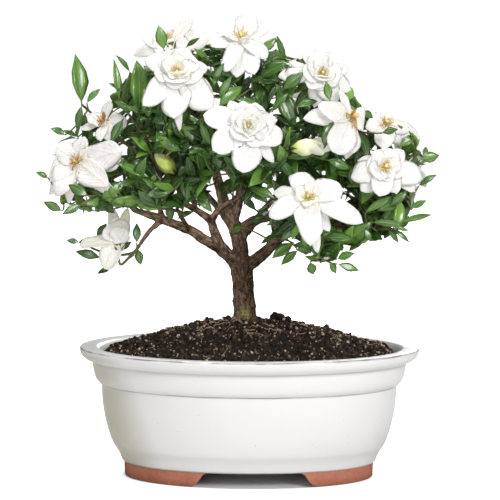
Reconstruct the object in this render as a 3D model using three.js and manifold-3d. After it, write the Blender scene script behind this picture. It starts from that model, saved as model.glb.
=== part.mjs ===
// Potted gardenia: a small flowering tree in an oval glazed pot that stands on two clay feet.
// Millimetres, +Z up. The origin lies under the middle of the whole object, where it stands.

import * as THREE from 'three';
import { mergeVertices } from 'three/addons/utils/BufferGeometryUtils.js';
import Module from 'manifold-3d';

// Driving dimensions of the pot
const RIM_LENGTH = 204;
const RIM_WIDTH = 160;
const POT_HEIGHT = 78;
const FLOOR_TOP = 16;
const FOOT_HEIGHT = 8.5;
const FOOT_GAP = { middle: 3, top: 53, bottom: 75 };
const DRAIN_HOLE = { radius: 7, offset: 38, sides: 12 };
const POT_SIDES = 32;

// Driving dimensions of what the pot holds
const CLEARANCE = 0.3;
const LEAST_GAP = 0.28;
const SLIVER = 0.02;
const SCREEN = { size: 23, thickness: 1.2, slot: 6, bar: 3 };
const SOIL_TOP = 93.8;
const SOIL_GAP = 0.5;
const TRUNK_SIDES = 10;
const TRUNK_HOLE = { x: -2.4, radius: 7.7, bottom: 49.6, sides: 12 };

// Driving dimensions of leaves, petals and shoots
const BLADE_THICKNESS = 0.9;
const LEAF_WIDTH_SHARE = 0.38;
const LEAF_ROOT = 0.4;
const PETAL_SEAT = 1.1;
const FLOWER_TUBE = 10;
const HEART_FOOT = 1.15;
const SHOOT_RADIUS = 0.95;
const FIRST_SHOOT = 1.4;
const SHOOT_SPACING = 1.6;
const STALK_TIP = 0.6;
const STALK_SIDES = 4;
const SHOOT_SIDES = 3;
const SHOOT_STEPS = 2;
const BLOOM_STALK = 3;

// Where each run of random numbers starts, and the step from one piece to the next
const SEEDS = { blooms: 7000, bloomStep: 31, sprays: 1000, sprayStep: 977, shootStep: 101 };

const wasm = await Module();
wasm.setup();

const point = ([x, y, z]) => new THREE.Vector3(x, y, z);
const mix = (from, to, share) => from + (to - from) * share;
const radians = THREE.MathUtils.degToRad;
const UP = point([0, 0, 1]);

// A repeatable stream of numbers from 0 to 1.
function randomFrom(seed) {
  let state = seed;
  return () => {
    state = (Math.imul(state, 1664525) + 1013904223) >>> 0;
    return state / 4294967296;
  };
}

// Solids and meshes

function solidFrom(geometry) {
  const bare = new THREE.BufferGeometry()
    .setAttribute('position', geometry.attributes.position).setIndex(geometry.index);
  const merged = mergeVertices(bare, 1e-4);
  const corners = merged.index.array;
  const triVerts = [];
  for (let i = 0; i < corners.length; i += 3) {
    const [a, b, c] = corners.slice(i, i + 3);
    if (a !== b && b !== c && a !== c) triVerts.push(a, b, c);
  }
  return new wasm.Manifold(new wasm.Mesh({
    numProp: 3,
    vertProperties: Float32Array.from(merged.attributes.position.array),
    triVerts: Uint32Array.from(triVerts),
  }));
}

const joined = (solids) => wasm.Manifold.union(solids).simplify(SLIVER);

// The largest body of a solid, without the loose scraps beside it.
const mainBody = (solid) => solid.decompose()
  .reduce((largest, body) => (body.volume() > largest.volume() ? body : largest));

function meshFrom(name, solid, material) {
  const { vertProperties, triVerts } = solid.getMesh();
  const geometry = new THREE.BufferGeometry();
  geometry.setAttribute('position', new THREE.Float32BufferAttribute(vertProperties, 3));
  geometry.setIndex(new THREE.Uint32BufferAttribute(triVerts, 1));
  geometry.computeVertexNormals();
  const mesh = new THREE.Mesh(geometry, material);
  mesh.name = name;
  return mesh;
}

// A round limb through a row of [x, y, z, radius] rings: a cylinder whose rings move onto the row.
function limb(rings, sides) {
  const places = rings.map(point);
  const last = places.length - 1;
  let across = null;
  const frames = places.map((_, i) => {
    const along = places[Math.min(i + 1, last)].clone().sub(places[Math.max(i - 1, 0)]).normalize();
    across ??= along.clone().cross(Math.abs(along.z) > 0.9 ? point([1, 0, 0]) : UP);
    across = across.clone().addScaledVector(along, -across.dot(along)).normalize();
    return { side: across, front: across.clone().cross(along) };
  });
  const geometry = new THREE.CylinderGeometry(1, 1, 1, sides, last);
  const position = geometry.attributes.position;
  for (let i = 0; i < position.count; i++) {
    const ring = Math.round((position.getY(i) + 0.5) * last);
    const { side, front } = frames[ring];
    const moved = places[ring].clone()
      .addScaledVector(side, position.getX(i) * rings[ring][3])
      .addScaledVector(front, position.getZ(i) * rings[ring][3]);
    position.setXYZ(i, moved.x, moved.y, moved.z);
  }
  return solidFrom(geometry);
}

// A leaf or petal from the point where it is rooted, along +X with its upper face to +Z.
// Each station is [share of the length, half width]. The section is a flat V: two edges and a keel,
// where the blade is thickest. The blade curls along its length, down where the curl is negative.
class BladeGeometry extends THREE.BufferGeometry {
  constructor({ length, stations, curl }) {
    super();
    const positions = [0, 0, 0];
    let x = 0;
    let z = 0;
    let reached = 0;
    for (const [share, half] of stations) {
      const turn = curl * (reached + share) / 2;
      x += Math.cos(turn) * (share - reached) * length;
      z += Math.sin(turn) * (share - reached) * length;
      reached = share;
      const keelX = x + Math.sin(curl * share) * BLADE_THICKNESS;
      const keelZ = z - Math.cos(curl * share) * BLADE_THICKNESS;
      positions.push(x, -half, z, keelX, 0, keelZ, x, half, z);
    }
    const rest = (1 - reached) * length;
    positions.push(x + Math.cos(curl) * rest, 0, z + Math.sin(curl) * rest);
    const tip = 1 + stations.length * 3;
    const index = [];
    for (let corner = 0; corner < 3; corner++) {
      const next = (corner + 1) % 3;
      index.push(0, 1 + next, 1 + corner, tip, tip - 3 + corner, tip - 3 + next);
    }
    for (let right = 1; right + 3 < tip; right += 3) {
      const [keel, left] = [right + 1, right + 2];
      index.push(right, keel, keel + 3, right, keel + 3, right + 3);
      index.push(keel, left, keel + 3, left, left + 3, keel + 3);
      index.push(left, right, right + 3, left, right + 3, left + 3);
    }
    this.setAttribute('position', new THREE.Float32BufferAttribute(positions, 3));
    this.setIndex(index);
  }
}

// A blade rooted at start, running along direction with its upper face to normal.
function placedBlade(shape, start, direction, normal) {
  const along = direction.clone().normalize();
  const left = normal.clone().cross(along).normalize();
  const face = along.clone().cross(left);
  return solidFrom(new BladeGeometry(shape)
    .applyMatrix4(new THREE.Matrix4().makeBasis(along, left, face).setPosition(start)));
}

const leafShape = (length) => ({
  length,
  stations: [[0.42, length * LEAF_WIDTH_SHARE * 0.48], [0.76, length * LEAF_WIDTH_SHARE * 0.38]],
  curl: -0.35,
});

const petalShape = (length, width, curl) => ({
  length,
  stations: [[0.47, width * 0.38], [0.82, width * 0.46]],
  curl,
});

// What stands already, so that what comes next is bent clear of it

const standing = new Map();

function stand(name, solid) {
  standing.set(name, { solid, box: solid.boundingBox() });
  return solid;
}

// The name of a standing piece other than its own that the solid comes too near to, if there is one.
function neighbourOf(solid, own) {
  const box = solid.boundingBox();
  return [...standing.keys()].find((name) => {
    const other = standing.get(name);
    return name !== own
      && [0, 1, 2].every((axis) => box.min[axis] - CLEARANCE < other.box.max[axis]
        && other.box.min[axis] - CLEARANCE < box.max[axis])
      && solid.minGap(other.solid, 2 * CLEARANCE) < LEAST_GAP;
  });
}

const isClear = (solid, own) => !neighbourOf(solid, own);

// Pot

// The rim is an oval, and every ring below it lies inside it by the same inset all round.
const OVAL_DIFFERENCE = (RIM_LENGTH - RIM_WIDTH) / 2;
const INNER_RING = 40;
const ring = ([inset, height]) => [RIM_LENGTH / 2 - inset, height];

const POT_OUTSIDE = [
  [35, 0], [27, 0], [27, 8.6], [25.2, 10], [20.3, 19], [16.7, 29.4], [14.1, 41],
  [13.3, 54.5], [12.2, 56], [8.8, 61], [7.4, 69], [2, 71.5], [0, 75.5], [0.6, POT_HEIGHT],
].map(ring);

const POT_INSIDE = [
  [9.5, POT_HEIGHT], [11.5, 77.2], [13.5, 72], [19, 55], [25.5, 20], [32, FLOOR_TOP],
].map(ring);

function ovalSolid(outline) {
  const profile = outline.map(([radius, height]) => new THREE.Vector2(radius, height));
  const geometry = new THREE.LatheGeometry(profile, POT_SIDES).rotateX(Math.PI / 2);
  const position = geometry.attributes.position;
  for (let i = 0; i < position.count; i++) {
    const radius = Math.hypot(position.getX(i), position.getY(i));
    const narrowing = OVAL_DIFFERENCE / Math.max(radius, INNER_RING);
    position.setY(i, position.getY(i) * (1 - narrowing));
  }
  return solidFrom(geometry);
}

function uprightCylinder(radius, bottom, top, sides, x) {
  return solidFrom(new THREE.CylinderGeometry(radius, radius, top - bottom, sides)
    .rotateX(Math.PI / 2).translate(x, 0, (bottom + top) / 2));
}

function footGap() {
  const top = FOOT_GAP.top / 2;
  const bottom = FOOT_GAP.bottom / 2;
  const outline = [
    [-bottom, -1], [bottom, -1], [bottom - 3, 2.5], [top, FOOT_HEIGHT], [-top, FOOT_HEIGHT],
    [3 - bottom, 2.5],
  ];
  const shape = new THREE.Shape(outline.map(([x, z]) => new THREE.Vector2(x, z)));
  return solidFrom(new THREE.ExtrudeGeometry(shape, { depth: RIM_WIDTH, bevelEnabled: false })
    .rotateX(Math.PI / 2).translate(FOOT_GAP.middle, RIM_WIDTH / 2, 0));
}

function potSolid() {
  const underside = [[0, FOOT_HEIGHT], ring([36, FOOT_HEIGHT])];
  const body = ovalSolid([...underside, ...POT_OUTSIDE, ...POT_INSIDE, [0, FLOOR_TOP]]);
  const holes = [-1, 1].map((side) => uprightCylinder(
    DRAIN_HOLE.radius, 0, FLOOR_TOP + 1, DRAIN_HOLE.sides, side * DRAIN_HOLE.offset));
  return body.subtract(joined([footGap(), ...holes]));
}

// Drain screens, flat plates with square holes that lie over the drain holes

const block = (size, depth, x, y, bottom) => solidFrom(new THREE.BoxGeometry(size, size, depth)
  .translate(x, y, bottom + depth / 2));

function screenSolid(x) {
  const aside = (SCREEN.slot + SCREEN.bar) / 2;
  const bottom = FLOOR_TOP + CLEARANCE;
  const holes = [[-1, -1], [1, -1], [-1, 1], [1, 1]].map(([dx, dy]) => block(
    SCREEN.slot, 3 * SCREEN.thickness, x + dx * aside, dy * aside, bottom - SCREEN.thickness));
  return block(SCREEN.size, SCREEN.thickness, x, 0, bottom).subtract(joined(holes));
}

// Soil, heaped round the trunk and lower towards the rim

function soilSolid() {
  const inside = POT_INSIDE.slice(3).reverse()
    .map(([radius, height]) => [radius - SOIL_GAP, height + CLEARANCE]);
  const floor = FLOOR_TOP + CLEARANCE;
  const surface = [
    ring([14.6, 70]), ring([14.2, 73.4]), [84, 75.8], [70, 80], [52, 85.8], [30, 91], [12, 93.4],
    [0, SOIL_TOP],
  ];
  const body = ovalSolid([[0, floor], ...inside, ...surface]);
  const pocket = SCREEN.size + 2 * CLEARANCE;
  const pockets = [-1, 1].map((side) => block(
    pocket, 2 * SCREEN.thickness, side * DRAIN_HOLE.offset, 0, floor + CLEARANCE - SCREEN.thickness));
  const hole = uprightCylinder(
    TRUNK_HOLE.radius, TRUNK_HOLE.bottom, SOIL_TOP + 1, TRUNK_HOLE.sides, TRUNK_HOLE.x);
  return body.subtract(joined([hole, ...pockets]));
}

// Trunk and limbs, each a row of [x, y, z, radius] rings that starts sunk in the limb it grows from.
// A limb that a spray grows from has the spray's name.

const TRUNK = [
  [-2.4, 0, 50, 6.2], [-2.4, 0, 88, 6.4], [-2.6, 0, 97, 6.9], [-3.8, 0, 112, 6.4],
  [-4.6, 0, 122, 6.4], [-4.6, 1, 130, 6.2],
];

const LIMBS = {
  left: [
    [-4.5, 0, 121, 4.6], [-10, -1, 130, 4.2], [-18, -3, 137, 3.5], [-28, -6, 143, 3.1],
    [-36, -8, 148.5, 2.9], [-49, -9, 153.5, 2.6], [-60, -9, 157.5, 2.2], [-69, -7, 160.5, 1.8],
    [-74, -5, 167, 1.4],
  ],
  left_low: [[-51, -9, 154, 1.8], [-55, -10, 164, 1.5], [-58, -12, 175, 1.3]],
  droop: [[-53, -9, 154, 1.6], [-60, -11, 148, 1.5], [-67, -14, 138, 1.2]],
  inner_left: [[-36, -8, 148, 1.7], [-39, -18, 154, 1.5], [-42, -25, 160, 1.3]],
  upper_left: [
    [-13, -2, 133, 3.2], [-18, -6, 140, 3], [-21.5, -9, 148, 2.8], [-24, -11, 155, 2.5],
    [-32, -16, 161, 2], [-39, -18, 165, 1.8], [-47, -20, 170, 1.7], [-55, -23, 184, 1.5],
    [-60, -24, 199, 1.3],
  ],
  left_top: [[-54, -23, 182, 1.4], [-62, -20, 190, 1.3], [-70, -17, 197, 1.2]],
  bud_left: [[-32, -16, 161, 1.5], [-34, -22, 169, 1.3], [-36, -27, 176, 1.2]],
  centre: [
    [-23.5, -10.5, 152, 2], [-19.6, -14, 160.6, 1.9], [-13.7, -17, 165, 1.7],
    [-7.8, -20, 168.7, 1.6], [-2.5, -26, 173, 1.4], [0, -31, 178, 1.3],
  ],
  twig: [[-18, -15, 162, 1.5], [-18.7, -18, 172.5, 1.4], [-21.3, -22, 183.6, 1.3], [-23, -26, 190, 1.2]],
  top_left: [
    [-5, 1, 128, 4.8], [-7, 5, 143.6, 4.6], [-12, 9, 155, 3.6], [-16, 12, 165, 3.4],
    [-22, 18, 185, 2.6], [-28, 18, 207, 2], [-36, -3, 226, 1.5],
  ],
  top: [[-10, 8, 152, 3], [-6, 12, 170, 2.8], [-4, 14, 190, 2.4], [-6, 12, 220, 1.8], [-8, 8, 240, 1.4]],
  upper_right: [
    [-6, 4, 141, 3.8], [-3, 6, 149, 3.5], [5.6, 6, 154.7, 3.2], [11.6, 6, 156, 3],
    [20, 8, 165, 2.4], [28, 8, 185, 2], [34, 4, 208, 1.6], [38, 0, 226, 1.3],
  ],
  right_low: [
    [-2, 0, 126, 4], [4, -1, 130.5, 3.8], [10, -3, 136, 3.4], [14, -4, 140, 3.2],
    [22, -6, 147, 3], [34, -8, 152, 2.8], [46, -10, 153.5, 2.5], [58, -10, 152.5, 2.2],
    [67, -10, 152, 1.8], [75, -8, 150, 1.5],
  ],
  right: [[28, -7, 150, 2.2], [45, -14, 168, 1.9], [58, -18, 188, 1.6], [68, -18, 204, 1.3]],
  right_mid: [[46, -10, 153, 1.9], [60, -16, 164, 1.6], [74, -22, 175, 1.3]],
  low_centre: [[20, -6, 146, 1.8], [25, -18, 151, 1.5], [28, -30, 156, 1.3]],
  low_right: [[44, -10, 153, 1.7], [49, -16, 149, 1.5], [53, -23, 144, 1.3]],
  inner_right: [[27, 8, 182, 1.6], [32, -2, 187, 1.5], [36, -12, 191, 1.3]],
  back_left: [[-8, 5, 145, 2.6], [-20, 22, 160, 2], [-32, 38, 173, 1.7], [-40, 50, 185, 1.4]],
  back_right: [[-2, 5, 146, 2.4], [10, 28, 160, 2], [24, 42, 175, 1.7], [35, 50, 190, 1.4]],
  back_low: [[22, -6, 147, 2.2], [42, 10, 155, 1.9], [60, 25, 163, 1.6], [75, 35, 171, 1.3]],
  back_mid: [[-5, 13, 180, 1.8], [-3, 28, 188, 1.6], [0, 44, 195, 1.3]],
  back_top: [[-21, 17, 184, 1.9], [-36, 22, 199, 1.6], [-50, 20, 212, 1.3]],
};

const LIMB_SIDES = { stout: 7, middling: 5, thin: 4 };

function sidesFor([[, , , radius]]) {
  if (radius > 3.5) return LIMB_SIDES.stout;
  return radius > 1.8 ? LIMB_SIDES.middling : LIMB_SIDES.thin;
}

const treeSolid = () => joined([
  limb(TRUNK, TRUNK_SIDES), ...Object.values(LIMBS).map((rings) => limb(rings, sidesFor(rings)))]);

// Blooms: where the petals meet, the way the bloom faces, its reach, its kind and its turn in degrees.
// Each row of petals has its number, its pitch from the bloom's axis in degrees, its length and width as
// shares of the reach, its curl, how far along the axis it is rooted, and its turn in degrees.

const BLOOM_KINDS = {
  open: [
    { petals: 6, pitch: 84, length: 1, width: 0.6, curl: -0.45, foot: -0.8, turn: 0 },
    { petals: 2, pitch: 56, length: 0.68, width: 0.56, curl: -0.2, foot: 0, turn: 40 },
  ],
  double: [
    { petals: 6, pitch: 95, length: 1, width: 0.6, curl: -0.5, foot: -0.8, turn: 0 },
    { petals: 4, pitch: 64, length: 0.78, width: 0.66, curl: 0.1, foot: -0.2, turn: 25 },
    { petals: 3, pitch: 32, length: 0.5, width: 0.42, curl: 0.5, foot: 0.1, turn: 10 },
  ],
  closing: [
    { petals: 4, pitch: 100, length: 1, width: 0.5, curl: -0.5, foot: -0.8, turn: 0 },
    { petals: 4, pitch: 24, length: 0.8, width: 0.42, curl: 0.3, foot: -0.2, turn: 45 },
  ],
};

const BLOOMS = {
  left: { centre: [-106, -20, 190], facing: [-0.45, -0.85, 0.25], reach: 25, kind: 'open', turn: 20 },
  left_top: { centre: [-86, 10, 217], facing: [-0.5, -0.6, 0.6], reach: 17, kind: 'closing', turn: 0 },
  low_left: { centre: [-79, -10, 148], facing: [-0.25, -0.35, 0.9], reach: 22, kind: 'closing', turn: 200 },
  upper_left: { centre: [-44, -45, 244], facing: [0.1, -0.8, 0.6], reach: 23, kind: 'double', turn: 30 },
  top_left: { centre: [-48, -5, 263], facing: [-0.3, 0.2, 0.93], reach: 19, kind: 'closing', turn: 10 },
  top: { centre: [-5, -15, 261], facing: [-0.1, -0.6, 0.8], reach: 20, kind: 'open', turn: 50 },
  centre: { centre: [-3, -75, 213.5], facing: [-0.1, -0.9, 0.4], reach: 24, kind: 'double', turn: 0 },
  upper_right: { centre: [43, -40, 244], facing: [0.2, -0.85, 0.45], reach: 22, kind: 'double', turn: 15 },
  right: { centre: [60, -55, 216], facing: [0.6, -0.75, 0.2], reach: 21, kind: 'open', turn: 10 },
  right_top: { centre: [82, -20, 213], facing: [0.3, -0.8, 0.5], reach: 14, kind: 'open', turn: 30 },
  far_right: { centre: [82, -50, 187], facing: [0.25, -0.9, 0.3], reach: 23, kind: 'double', turn: 45 },
  low_right: { centre: [35, -75, 169], facing: [0, -0.85, 0.5], reach: 27, kind: 'open', turn: 30 },
  back_left: { centre: [-50, 70, 205], facing: [-0.4, 0.8, 0.4], reach: 24, kind: 'open', turn: 0 },
  back_right: { centre: [45, 62, 225], facing: [0.3, 0.75, 0.55], reach: 24, kind: 'double', turn: 40 },
  back_low: { centre: [95, 45, 182], facing: [0.75, 0.6, 0.2], reach: 20, kind: 'open', turn: 20 },
};

for (const bloom of Object.values(BLOOMS)) {
  bloom.axis = point(bloom.facing).normalize();
  bloom.place = point(bloom.centre);
  bloom.right = UP.clone().cross(bloom.axis).normalize();
  bloom.over = bloom.axis.clone().cross(bloom.right);
  bloom.foot = bloom.place.clone().addScaledVector(bloom.axis, -FLOWER_TUBE);
}

const rayOf = ({ right, over }, angle) => right.clone().multiplyScalar(Math.cos(angle))
  .addScaledVector(over, Math.sin(angle));

// The direction that leans from the bloom's axis to the ray, and the face of a blade that lies along it.
function leaning(bloom, ray, lean) {
  const part = [Math.cos(lean), Math.sin(lean)];
  return {
    direction: bloom.axis.clone().multiplyScalar(part[0]).addScaledVector(ray, part[1]),
    face: bloom.axis.clone().multiplyScalar(part[1]).addScaledVector(ray, -part[0]),
  };
}

const onAxis = (bloom, [height, radius]) => [
  ...bloom.place.clone().addScaledVector(bloom.axis, height).toArray(), radius];

function petalSolid(bloom, { length, width, curl, foot }, angle, pitch) {
  const ray = rayOf(bloom, angle);
  const { direction, face } = leaning(bloom, ray, radians(pitch));
  const start = bloom.place.clone().addScaledVector(bloom.axis, foot).addScaledVector(ray, PETAL_SEAT);
  return placedBlade(petalShape(length * bloom.reach, width * bloom.reach, curl), start, direction, face);
}

// The petal, raised or turned a little until it is clear of what stands, or nothing where it can't be.
const PETAL_RAISES = [0, 12, 24, -12];
const PETAL_TURNS = [0, 12, -12];

function clearPetal(bloom, row, angle, pitch) {
  for (const raise of PETAL_RAISES) {
    for (const turn of PETAL_TURNS) {
      const petal = petalSolid(bloom, row, angle + radians(turn), pitch - raise);
      if (isClear(petal)) return petal;
    }
  }
  return null;
}

// The green tube behind the petals, as [height on the axis, radius], and how far petals stray from
// their places: in angle as a share of the space between two, and in pitch in degrees.
const TUBE = [[-FLOWER_TUBE, 1.3], [-3, 2], [-0.4, 3.2], [0.8, 2.4]];
const TUBE_SIDES = 6;
const PETAL_STRAY = { angle: 0.25, pitch: 16 };

function bloomSolid(bloom, seed) {
  const random = randomFrom(seed);
  const tube = limb(TUBE.map((ring) => onAxis(bloom, ring)), TUBE_SIDES);
  const petals = BLOOM_KINDS[bloom.kind].flatMap((row) => (
    Array.from({ length: row.petals }, (_, i) => {
      const spread = 360 / row.petals;
      const stray = (random() - 0.5) * PETAL_STRAY.angle * spread;
      const pitch = row.pitch + (random() - 0.5) * PETAL_STRAY.pitch;
      return clearPetal(bloom, row, radians(bloom.turn + row.turn + i * spread + stray), pitch);
    })));
  return mainBody(joined([tube, ...petals.filter(Boolean)]));
}

// The heart of a bloom: the club in its middle, as [height above its foot, radius], and slim anthers.
const CLUB = [[0, 0.8], [6, 1.5], [8, 0.5]];
const CLUB_SIDES = 4;
const ANTHER = { length: 8, lift: 1.8, halfWidth: 0.6, turn: 30 };
const ANTHERS = { open: { count: 3, pitch: 50 }, double: { count: 3, pitch: 12 }, closing: { count: 0 } };
const HEART_SIZES = [1, 0.85, 0.7, 0.6];

function heartSolid(bloom, size) {
  const club = limb(CLUB.map(([height, radius]) => (
    onAxis(bloom, [HEART_FOOT + height * size, radius * size]))), CLUB_SIDES);
  const { count, pitch } = ANTHERS[bloom.kind];
  const anthers = Array.from({ length: count }, (_, i) => {
    const ray = rayOf(bloom, radians(bloom.turn + ANTHER.turn + i * 360 / count));
    const { direction, face } = leaning(bloom, ray, radians(pitch));
    const start = bloom.place.clone().addScaledVector(bloom.axis, HEART_FOOT + ANTHER.lift * size);
    const shape = { length: ANTHER.length * size, stations: [[0.4, ANTHER.halfWidth]], curl: 0 };
    return placedBlade(shape, start, direction, face);
  });
  return joined([club, ...anthers]);
}

function clearHeart(bloom) {
  const heart = HEART_SIZES.map((size) => heartSolid(bloom, size)).find((tried) => isClear(tried));
  if (!heart) throw new Error('a heart has no room');
  return heart;
}

// Buds: where the bud leaves its stalk, the way it points and its length

const BUDS = {
  left: { base: [-43, -33, 184], facing: [-0.72, -0.17, 0.67], length: 17, radius: 4.8 },
  right: { base: [24, -56, 199], facing: [0.95, -0.2, 0.1], length: 19, radius: 4.4 },
};

// The outline of a bud, as [share of its length, share of its radius].
const BUD_SIDES = 6;
const BUD_OUTLINE = [[0, 0.28], [0.16, 0.62], [0.42, 1], [0.68, 0.86], [0.88, 0.5], [1, 0.14]];

for (const bud of Object.values(BUDS)) {
  bud.axis = point(bud.facing).normalize();
  bud.foot = point(bud.base);
}

const budSolid = ({ foot, axis, length, radius }) => limb(BUD_OUTLINE.map(([share, swell]) => (
  [...foot.clone().addScaledVector(axis, share * length).toArray(), swell * radius])), BUD_SIDES);

// Sprays: green shoots that leave the end of the limb with the same name.
// A shoot ends at a bloom, at a bud or at a point, with whorls of leaves on the way there, given as
// [whorls, leaves in each, leaf length], and some end in a leaf that reaches to a point of its own.

const SPRAYS = {
  left: [
    { bloom: 'left' },
    { end: [-112, -4, 166], leaves: [2, 3, 22] },
    { end: [-104, 8, 202], leaves: [1, 3, 22] },
    { end: [-88, -22, 172], leaves: [1, 3, 20] },
  ],
  left_low: [
    { end: [-72, -30, 180], leaves: [2, 2, 24] },
    { end: [-62, -32, 168], leaves: [1, 3, 22] },
    { end: [-66, -2, 188], leaves: [1, 2, 22] },
  ],
  droop: [
    { bloom: 'low_left' },
    { end: [-84, -18, 132], leaves: [1, 3, 18] },
    { end: [-73, -19, 131], leaves: [1, 2, 16] },
  ],
  inner_left: [
    { end: [-54, -42, 164], leaves: [2, 2, 24] },
    { end: [-38, -46, 160], leaves: [1, 3, 22] },
    { end: [-30, -38, 172], leaves: [1, 2, 22] },
  ],
  upper_left: [
    { end: [-66, -32, 219], leaves: [2, 2, 22], leafTip: [-67, -33, 251] },
    { end: [-76, -22, 226], leaves: [1, 2, 22], leafTip: [-75, -22, 252] },
    { end: [-44, -42, 208], leaves: [2, 2, 24] },
  ],
  left_top: [
    { bloom: 'left_top' },
    { end: [-103, -8, 224], leaves: [1, 2, 20], leafTip: [-104, -6, 253] },
    { end: [-86, -16, 206], leaves: [1, 3, 24] },
  ],
  bud_left: [
    { bud: 'left' },
    { end: [-28, -48, 186], leaves: [2, 2, 24] },
    { end: [-44, -50, 176], leaves: [1, 3, 22] },
  ],
  centre: [
    { bloom: 'centre' },
    { end: [12, -58, 188], leaves: [2, 2, 24] },
    { end: [-16, -60, 188], leaves: [2, 2, 24] },
  ],
  twig: [
    { end: [-24, -50, 203], leaves: [2, 2, 26] },
    { end: [-38, -46, 204], leaves: [1, 3, 24] },
    { end: [-8, -42, 200], leaves: [1, 2, 24] },
  ],
  top_left: [
    { bloom: 'upper_left' },
    { bloom: 'top_left' },
    { end: [-28, -22, 247], leaves: [1, 3, 22] },
    { end: [-60, -10, 238], leaves: [1, 2, 22] },
  ],
  top: [
    { bloom: 'top' },
    { end: [16, 0, 262], leaves: [1, 3, 20] },
    { end: [-22, 12, 256], leaves: [1, 3, 22] },
    { end: [6, -24, 238], leaves: [2, 2, 24] },
  ],
  upper_right: [
    { bloom: 'upper_right' },
    { end: [20, -24, 238], leaves: [2, 2, 26] },
    { end: [52, -34, 226], leaves: [1, 3, 24] },
    { end: [62, 6, 236], leaves: [1, 3, 22] },
    { end: [28, 16, 250], leaves: [1, 3, 22] },
  ],
  right: [
    { bloom: 'right' },
    { bloom: 'right_top' },
    { end: [70, -10, 226], leaves: [1, 3, 20] },
  ],
  right_mid: [
    { bloom: 'far_right' },
    { end: [103, -28, 192], leaves: [2, 2, 20] },
    { end: [94, -32, 170], leaves: [1, 3, 20] },
    { end: [99, 0, 196], leaves: [2, 3, 20] },
  ],
  right_low: [
    { end: [101, -10, 162], leaves: [2, 2, 22] },
    { end: [100, -16, 147], leaves: [1, 3, 20] },
    { end: [84, -28, 142], leaves: [1, 3, 22] },
  ],
  low_centre: [
    { bloom: 'low_right' },
    { end: [12, -50, 146], leaves: [2, 2, 22] },
    { end: [44, -46, 144], leaves: [1, 3, 24] },
  ],
  low_right: [
    { end: [62, -38, 139], leaves: [2, 2, 24] },
    { end: [44, -38, 134], leaves: [1, 3, 22] },
  ],
  inner_right: [
    { bud: 'right' },
    { end: [48, -34, 196], leaves: [2, 2, 24] },
    { end: [26, -38, 212], leaves: [1, 3, 26] },
    { end: [56, -20, 184], leaves: [1, 3, 24] },
  ],
  back_left: [
    { bloom: 'back_left' },
    { end: [-68, 42, 188], leaves: [2, 3, 24] },
    { end: [-34, 66, 182], leaves: [2, 2, 24] },
    { end: [-58, 30, 165], leaves: [1, 3, 24] },
  ],
  back_right: [
    { bloom: 'back_right' },
    { end: [62, 52, 205], leaves: [2, 3, 24] },
    { end: [20, 66, 200], leaves: [2, 2, 24] },
    { end: [40, 62, 175], leaves: [1, 3, 22] },
  ],
  back_low: [
    { bloom: 'back_low' },
    { end: [78, 48, 195], leaves: [2, 2, 24] },
    { end: [70, 52, 155], leaves: [2, 3, 22] },
  ],
  back_mid: [
    { end: [-6, 64, 220], leaves: [2, 3, 24] },
    { end: [6, 70, 195], leaves: [2, 2, 24] },
    { end: [-18, 52, 236], leaves: [2, 2, 24] },
  ],
  back_top: [
    { end: [-72, 22, 222], leaves: [2, 3, 24] },
    { end: [-58, 36, 232], leaves: [2, 2, 24] },
    { end: [-44, 30, 246], leaves: [1, 3, 22] },
  ],
};

// The middle of the crown, which leaves turn away from, and how far they turn to it and to the sky.
const CROWN_MIDDLE = point([0, 0, 195]);
const LEAF_TURN = { outward: 0.5, upward: 0.6 };

function limbEnd(rings) {
  const [before, last] = rings.slice(-2);
  const place = point(last);
  return { place, along: place.clone().sub(point(before)).normalize(), radius: last[3] };
}

// A shoot's curve fans out from the limb's end, and comes up behind its bloom or bud. The fan's reach
// and lift, and the approach to the bloom or bud, are shares of the way there.
const FAN = { reach: 0.35, lift: 0.12 };
const APPROACH = 0.35;

function fanned(start, along, end) {
  const span = end.clone().sub(start);
  return start.clone().addScaledVector(span, FAN.reach)
    .addScaledVector(along, FAN.lift * span.length());
}

function shootCurve(shoot, start, along) {
  const target = shoot.bloom ? BLOOMS[shoot.bloom] : BUDS[shoot.bud];
  if (!target) {
    const end = point(shoot.end);
    return new THREE.QuadraticBezierCurve3(start, fanned(start, along, end), end);
  }
  const end = target.foot.clone().addScaledVector(target.axis, -CLEARANCE);
  const turn = end.clone().addScaledVector(target.axis, -BLOOM_STALK);
  const lead = turn.clone().addScaledVector(target.axis, -APPROACH * start.distanceTo(turn));
  const path = new THREE.CurvePath();
  path.add(new THREE.CubicBezierCurve3(start, fanned(start, along, turn), lead, turn));
  path.add(new THREE.LineCurve3(turn, end));
  return path;
}

// The space that leaves keep out of in front of and behind each bloom, in shares of its reach.
const BLOOM_SPACE = { aside: 0.95, behind: 0.25, before: 0.7 };

function insideBloom(spot) {
  return Object.values(BLOOMS).some(({ place, axis, reach }) => {
    const from = spot.clone().sub(place);
    const height = from.dot(axis);
    const aside = from.addScaledVector(axis, -height).length();
    return aside < BLOOM_SPACE.aside * reach
      && height > -BLOOM_SPACE.behind * reach && height < BLOOM_SPACE.before * reach;
  });
}

// Leaves stand in whorls between these shares of the shoot, each a step below the one before it. They
// lean from the shoot by degrees that fall towards its tip, and stray in angle (radians) and in lean.
const WHORLS = { lowest: 0.5, highest: 0.97, step: 0.08 };
const LEAF_LEAN = { foot: 72, tip: 46 };
const LEAF_STRAY = { angle: 0.7, lean: 24 };
const LEAF_LENGTH = { least: 0.8, more: 0.35 };
const LEAF_TRIES = [0, 0.7, -0.7, 1.4];

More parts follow.
